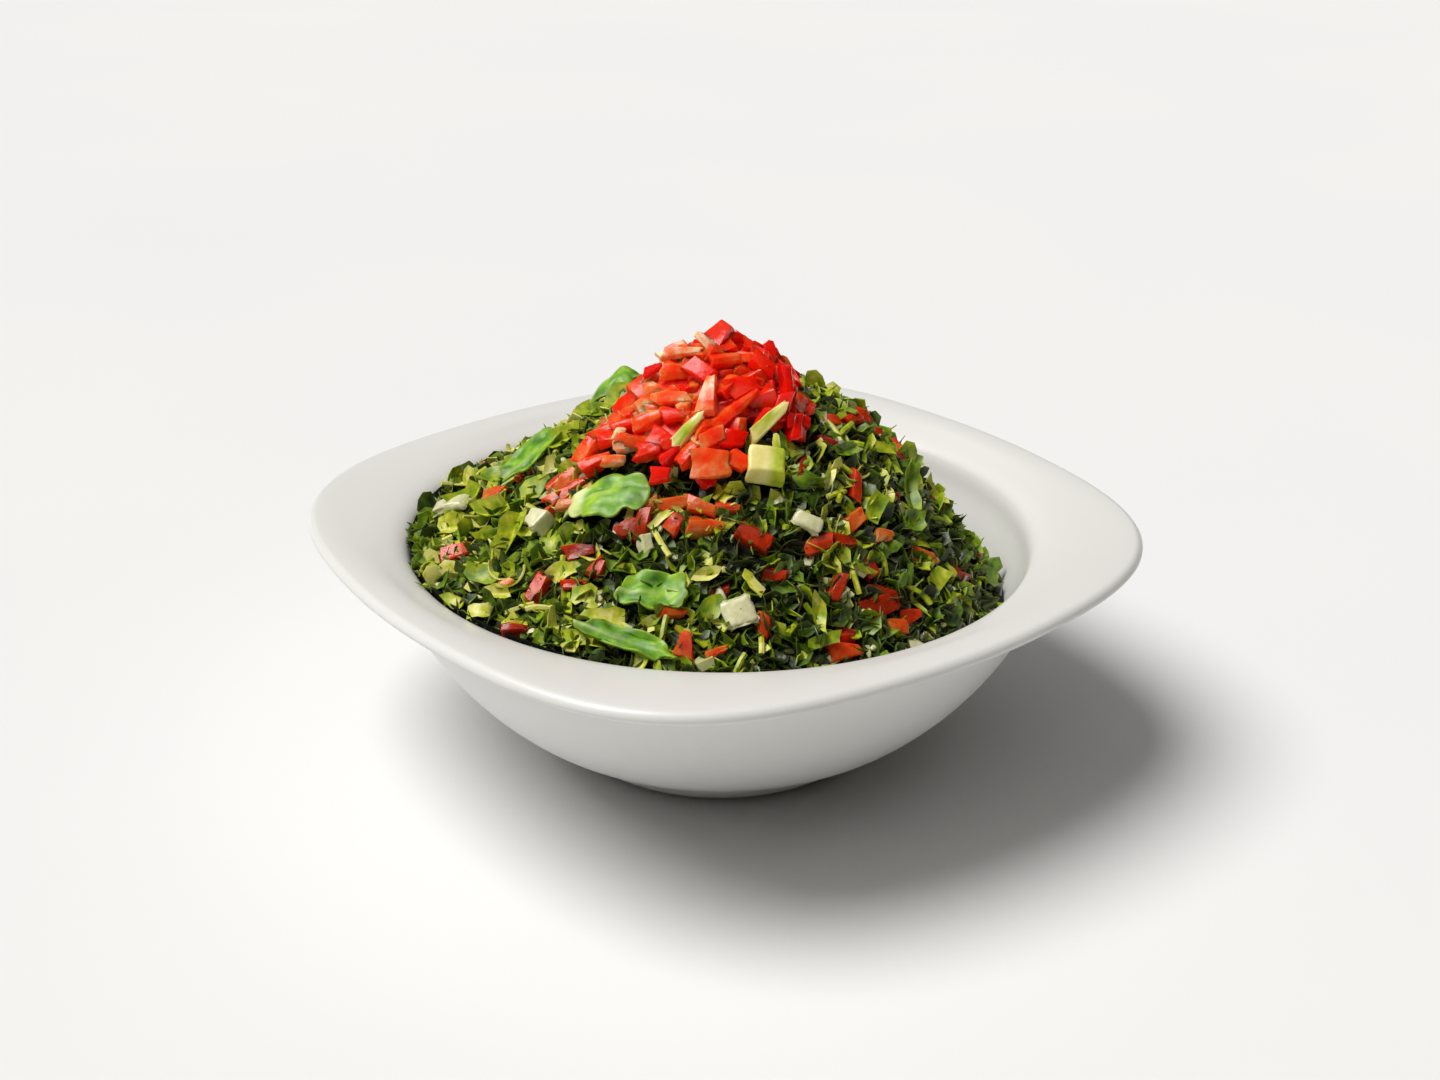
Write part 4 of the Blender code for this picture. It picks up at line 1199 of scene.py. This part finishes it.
onion = make_onion_material()
ONION_BITS = [dice(shape_rng, [side * MM for side in size], "onion_bit") for size in ONION_SIZES]
GRAINS = [grain(2.6 * MM, 1.7 * MM), grain(2.1 * MM, 1.6 * MM)]
pale_placings = scattered(rng, ONION_BITS, 90, (-2.4, -0.6), (-45, 45), (0.3, 1))
pale_placings += scattered(rng, GRAINS, 220, (-1.8, -0.2), (-30, 30), (0.2, 0.9))
finished("onion_and_grain", joined(pale_placings), onion, "salad_heap", sharp_angle=30)

# %% Onion slices and cube
BLOCK_THICKNESS = {"onion_cube": 5.4 * MM, "cucumber_chunk": 7.5 * MM}
SLICE_THICKNESS = 2.4 * MM
SLICE_BEND = 0.25
CUT_SHARE = 1.55
CUT_UNEVENNESS = 0.4
CUT_TONE = 0.85
noise.seed_set(4)  # Without a seed, noise_vector would follow the clock.


def resting_piece(name, node, footprint, material, bend, rounding):
    """A cut piece of the node's own size, where the node is, turned as the slope there is."""
    low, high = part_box(node)
    thickness = BLOCK_THICKNESS.get(node, SLICE_THICKNESS)
    size = (footprint.half.x * CUT_SHARE, footprint.half.y * CUT_SHARE, thickness)
    bm = bmesh.new()
    bmesh.ops.create_cube(bm, size=1)
    bmesh.ops.subdivide_edges(bm, edges=bm.edges[:], cuts=3, use_grid_fill=True)
    seed = footprint.centre.to_3d() * 900
    for vertex in bm.verts:
        uneven = Vector((1, 1, 1)) + CUT_UNEVENNESS * noise.noise_vector(vertex.co * 0.8 + seed)
        vertex.co = vertex.co * Vector(size) * uneven
        vertex.co.z -= bend * (vertex.co.x**2 - size[0] ** 2 / 12) / size[0]
    soften(bm, 0.9, rounding, 3)
    skin = bm.verts.layers.float.new("skin")
    tone = bm.verts.layers.float.new("tone")
    for vertex in bm.verts:
        vertex[skin] = smooth_step((vertex.co.x / size[0] - 0.02) / 0.2)
        vertex[tone] = CUT_TONE
    normal = upright(*footprint.centre)
    stand = normal.to_track_quat("Z", "Y").to_matrix().to_4x4()
    matrix = Matrix.Translation((low + high) / 2) @ stand @ Matrix.Rotation(footprint.turn, 4, "Z")
    bmesh.ops.transform(bm, matrix=matrix, verts=bm.verts)
    return finished(name, bm, material, node, sharp_angle=60)


for node, footprint in ONIONS.items():
    bend, rounding = (0, 0.5 * MM) if node in BLOCK_THICKNESS else (SLICE_BEND, 0.7 * MM)
    resting_piece(f"{node}_cut", node, footprint, onion, bend, rounding)

# %% [markdown]
# The cucumber chunk has pale yellow flesh, and on its right side a strip of green skin. Both come from one
# material, which reads "skin" from the vertices. Fine noise gives the flesh its wet grain. Three slivers of
# the same cucumber lie on the tomato pile, and are cut as its single pieces are.

# %% Cucumber
def make_cucumber_material():
    gloss = {"Roughness": 0.25, "Coat_Weight": 0.3, "Coat_Roughness": 0.1}
    material, tree, shader = new_material("cucumber_flesh", **gloss)
    flesh = colour_ramp(tree, spots(tree, 380, 3), [(0.3, (232, 218, 122)), (0.7, (246, 236, 166))])
    rind = colour_ramp(tree, spots(tree, 300, 3), [(0.3, (150, 176, 26)), (0.7, (216, 220, 70))])
    tree.links.new(mixed(tree, attribute(tree, "skin"), flesh, rind), shader.inputs["Base Color"])
    let_light_in(shader, 0.4, (1, 1, 0.4), 2 * MM)
    relief(tree, shader, spots(tree, 800, 2), 0.2 * MM, 0.5)
    return material


cucumber = make_cucumber_material()
resting_piece("cucumber_cut", "cucumber_chunk", CUCUMBER, cucumber, 0, 0.7 * MM)

# %% Cucumber slivers on the pile
SLIVERS = [(-3.5, -31.5, 10, 5, 50, 0), (15, -25, 12, 4, 45, 0.7), (17.5, -29, 4, 2, 90, 0)]
slivers = single_dice(random.Random(19), SLIVERS, pile_height, 2.2 * MM)
finished("cucumber_slivers", joined(slivers), cucumber, "tomato_pile", sharp_angle=28)

# %% [markdown]
# A leaf piece is a grid drawn to an ellipse and dropped onto the salad, with the ripple and the bulge that
# its node has. Its outline is nibbled by noise, its margin frills, and a rib runs along it as a low ridge.
# Solidify gives it thickness at the end, as a modifier, so that the numbers at its vertices are kept.

# %% Leaf material
LEAF_GREENS = [(0.3, (46, 92, 4)), (0.5, (98, 156, 12)), (0.72, (162, 202, 44))]


def make_leaf_material():
    gloss = {"Roughness": 0.45, "Coat_Weight": 0.08, "Coat_Roughness": 0.25}
    material, tree, shader = new_material("lettuce_blade", **gloss)
    blade = colour_ramp(tree, spots(tree, 210, 4), LEAF_GREENS)
    rib = mixed(tree, attribute(tree, "rib"), blade, paint(216, 226, 150))
    margin = between(tree, attribute(tree, "edge"), 0.75, 1, 0, 0.25)
    tree.links.new(mixed(tree, margin, rib, paint(186, 196, 72)), shader.inputs["Base Color"])
    let_light_in(shader, 0.15, (0.6, 1, 0.2), 1.5 * MM)
    relief(tree, shader, spots(tree, 420, 3), 0.25 * MM, 0.6)
    return material


lettuce = make_leaf_material()
print("material:", lettuce.name)

# %% Leaves
LEAF_WAVE = 1.3 * MM
LEAF_CURL = 1.2 * MM
LEAF_BULGE = {"lettuce_leaf_top_left": 5.5 * MM, "lettuce_leaf_ribbed": 2 * MM}
LEAF_TILT = {"lettuce_leaf_left": 4 * MM, "lettuce_strip_front": 1 * MM}
LEAF_NIBBLE = 0.3
LEAF_FRILL = 0.45 * MM
FRILLS = 7
BLADE_THICKNESS = 0.6 * MM
RIB_HEIGHT = 0.5 * MM
RIB_WIDTH = 0.09
RIB_PALENESS = 0.4


def draped_leaf(node, footprint, seed):
    """A leaf on the salad, in the form of its node."""
    bulge = LEAF_BULGE.get(node, 0)
    bm = bmesh.new()
    bmesh.ops.create_grid(bm, x_segments=34, y_segments=22, size=1)
    rib = bm.verts.layers.float.new("rib")
    edge = bm.verts.layers.float.new("edge")
    for vertex in bm.verts:
        u, v = vertex.co.x, vertex.co.y
        disc_u = u * math.sqrt(1 - v * v / 2)
        disc_v = v * math.sqrt(1 - u * u / 2)
        outward = math.hypot(disc_u, disc_v)
        around = math.atan2(disc_v, disc_u)
        rough = noise.noise(Vector((math.cos(around), math.sin(around), seed)) * 2.2)
        nibble = 1 - LEAF_NIBBLE * outward * max(0.3 + rough, 0)
        along = disc_u * nibble * footprint.half.x
        aside = disc_v * nibble * footprint.half.y
        x = footprint.centre.x + along * math.cos(footprint.turn) - aside * math.sin(footprint.turn)
        y = footprint.centre.y + along * math.sin(footprint.turn) + aside * math.cos(footprint.turn)
        ripple = noise.noise(Vector((disc_u * 1.7, disc_v * 1.7, seed * 3.1)))
        crinkle = noise.noise(Vector((disc_u * 3, disc_v * 3, seed * 1.7)))
        frill = LEAF_FRILL * (outward**3 * math.sin(around * FRILLS + seed) + crinkle)
        rise = LEAF_WAVE * (0.5 + ripple) + LEAF_CURL * outward**2 + bulge * (1 - outward**2) + frill
        ridge = math.exp(-(((disc_v + 0.15 * ripple) / RIB_WIDTH) ** 2))
        vertex[rib] = RIB_PALENESS * ridge * smooth_step((0.8 - disc_u) / 1.4)
        if node == "lettuce_leaf_ribbed":
            vertex[rib] = max(vertex[rib], smooth_step((-disc_u - 0.45) / 0.35))
        vertex[edge] = outward
        rise += RIB_HEIGHT * vertex[rib] + LEAF_TILT.get(node, 0) * (disc_v + 1) / 2
        vertex.co = (x, y, heap_height(x, y) + REST_GAP + max(rise, 0))
    bmesh.ops.recalc_face_normals(bm, faces=bm.faces)
    if sum(face.normal.z for face in bm.faces) < 0:
        bmesh.ops.reverse_faces(bm, faces=bm.faces)
    leaf = finished(f"{node}_blade", bm, lettuce, node, sharp_angle=60)
    thicken = leaf.modifiers.new("thickness", "SOLIDIFY")
    thicken.thickness = BLADE_THICKNESS
    thicken.offset = 1
    return leaf


for seed, (node, footprint) in enumerate(LEAVES.items()):
    draped_leaf(node, footprint, seed)
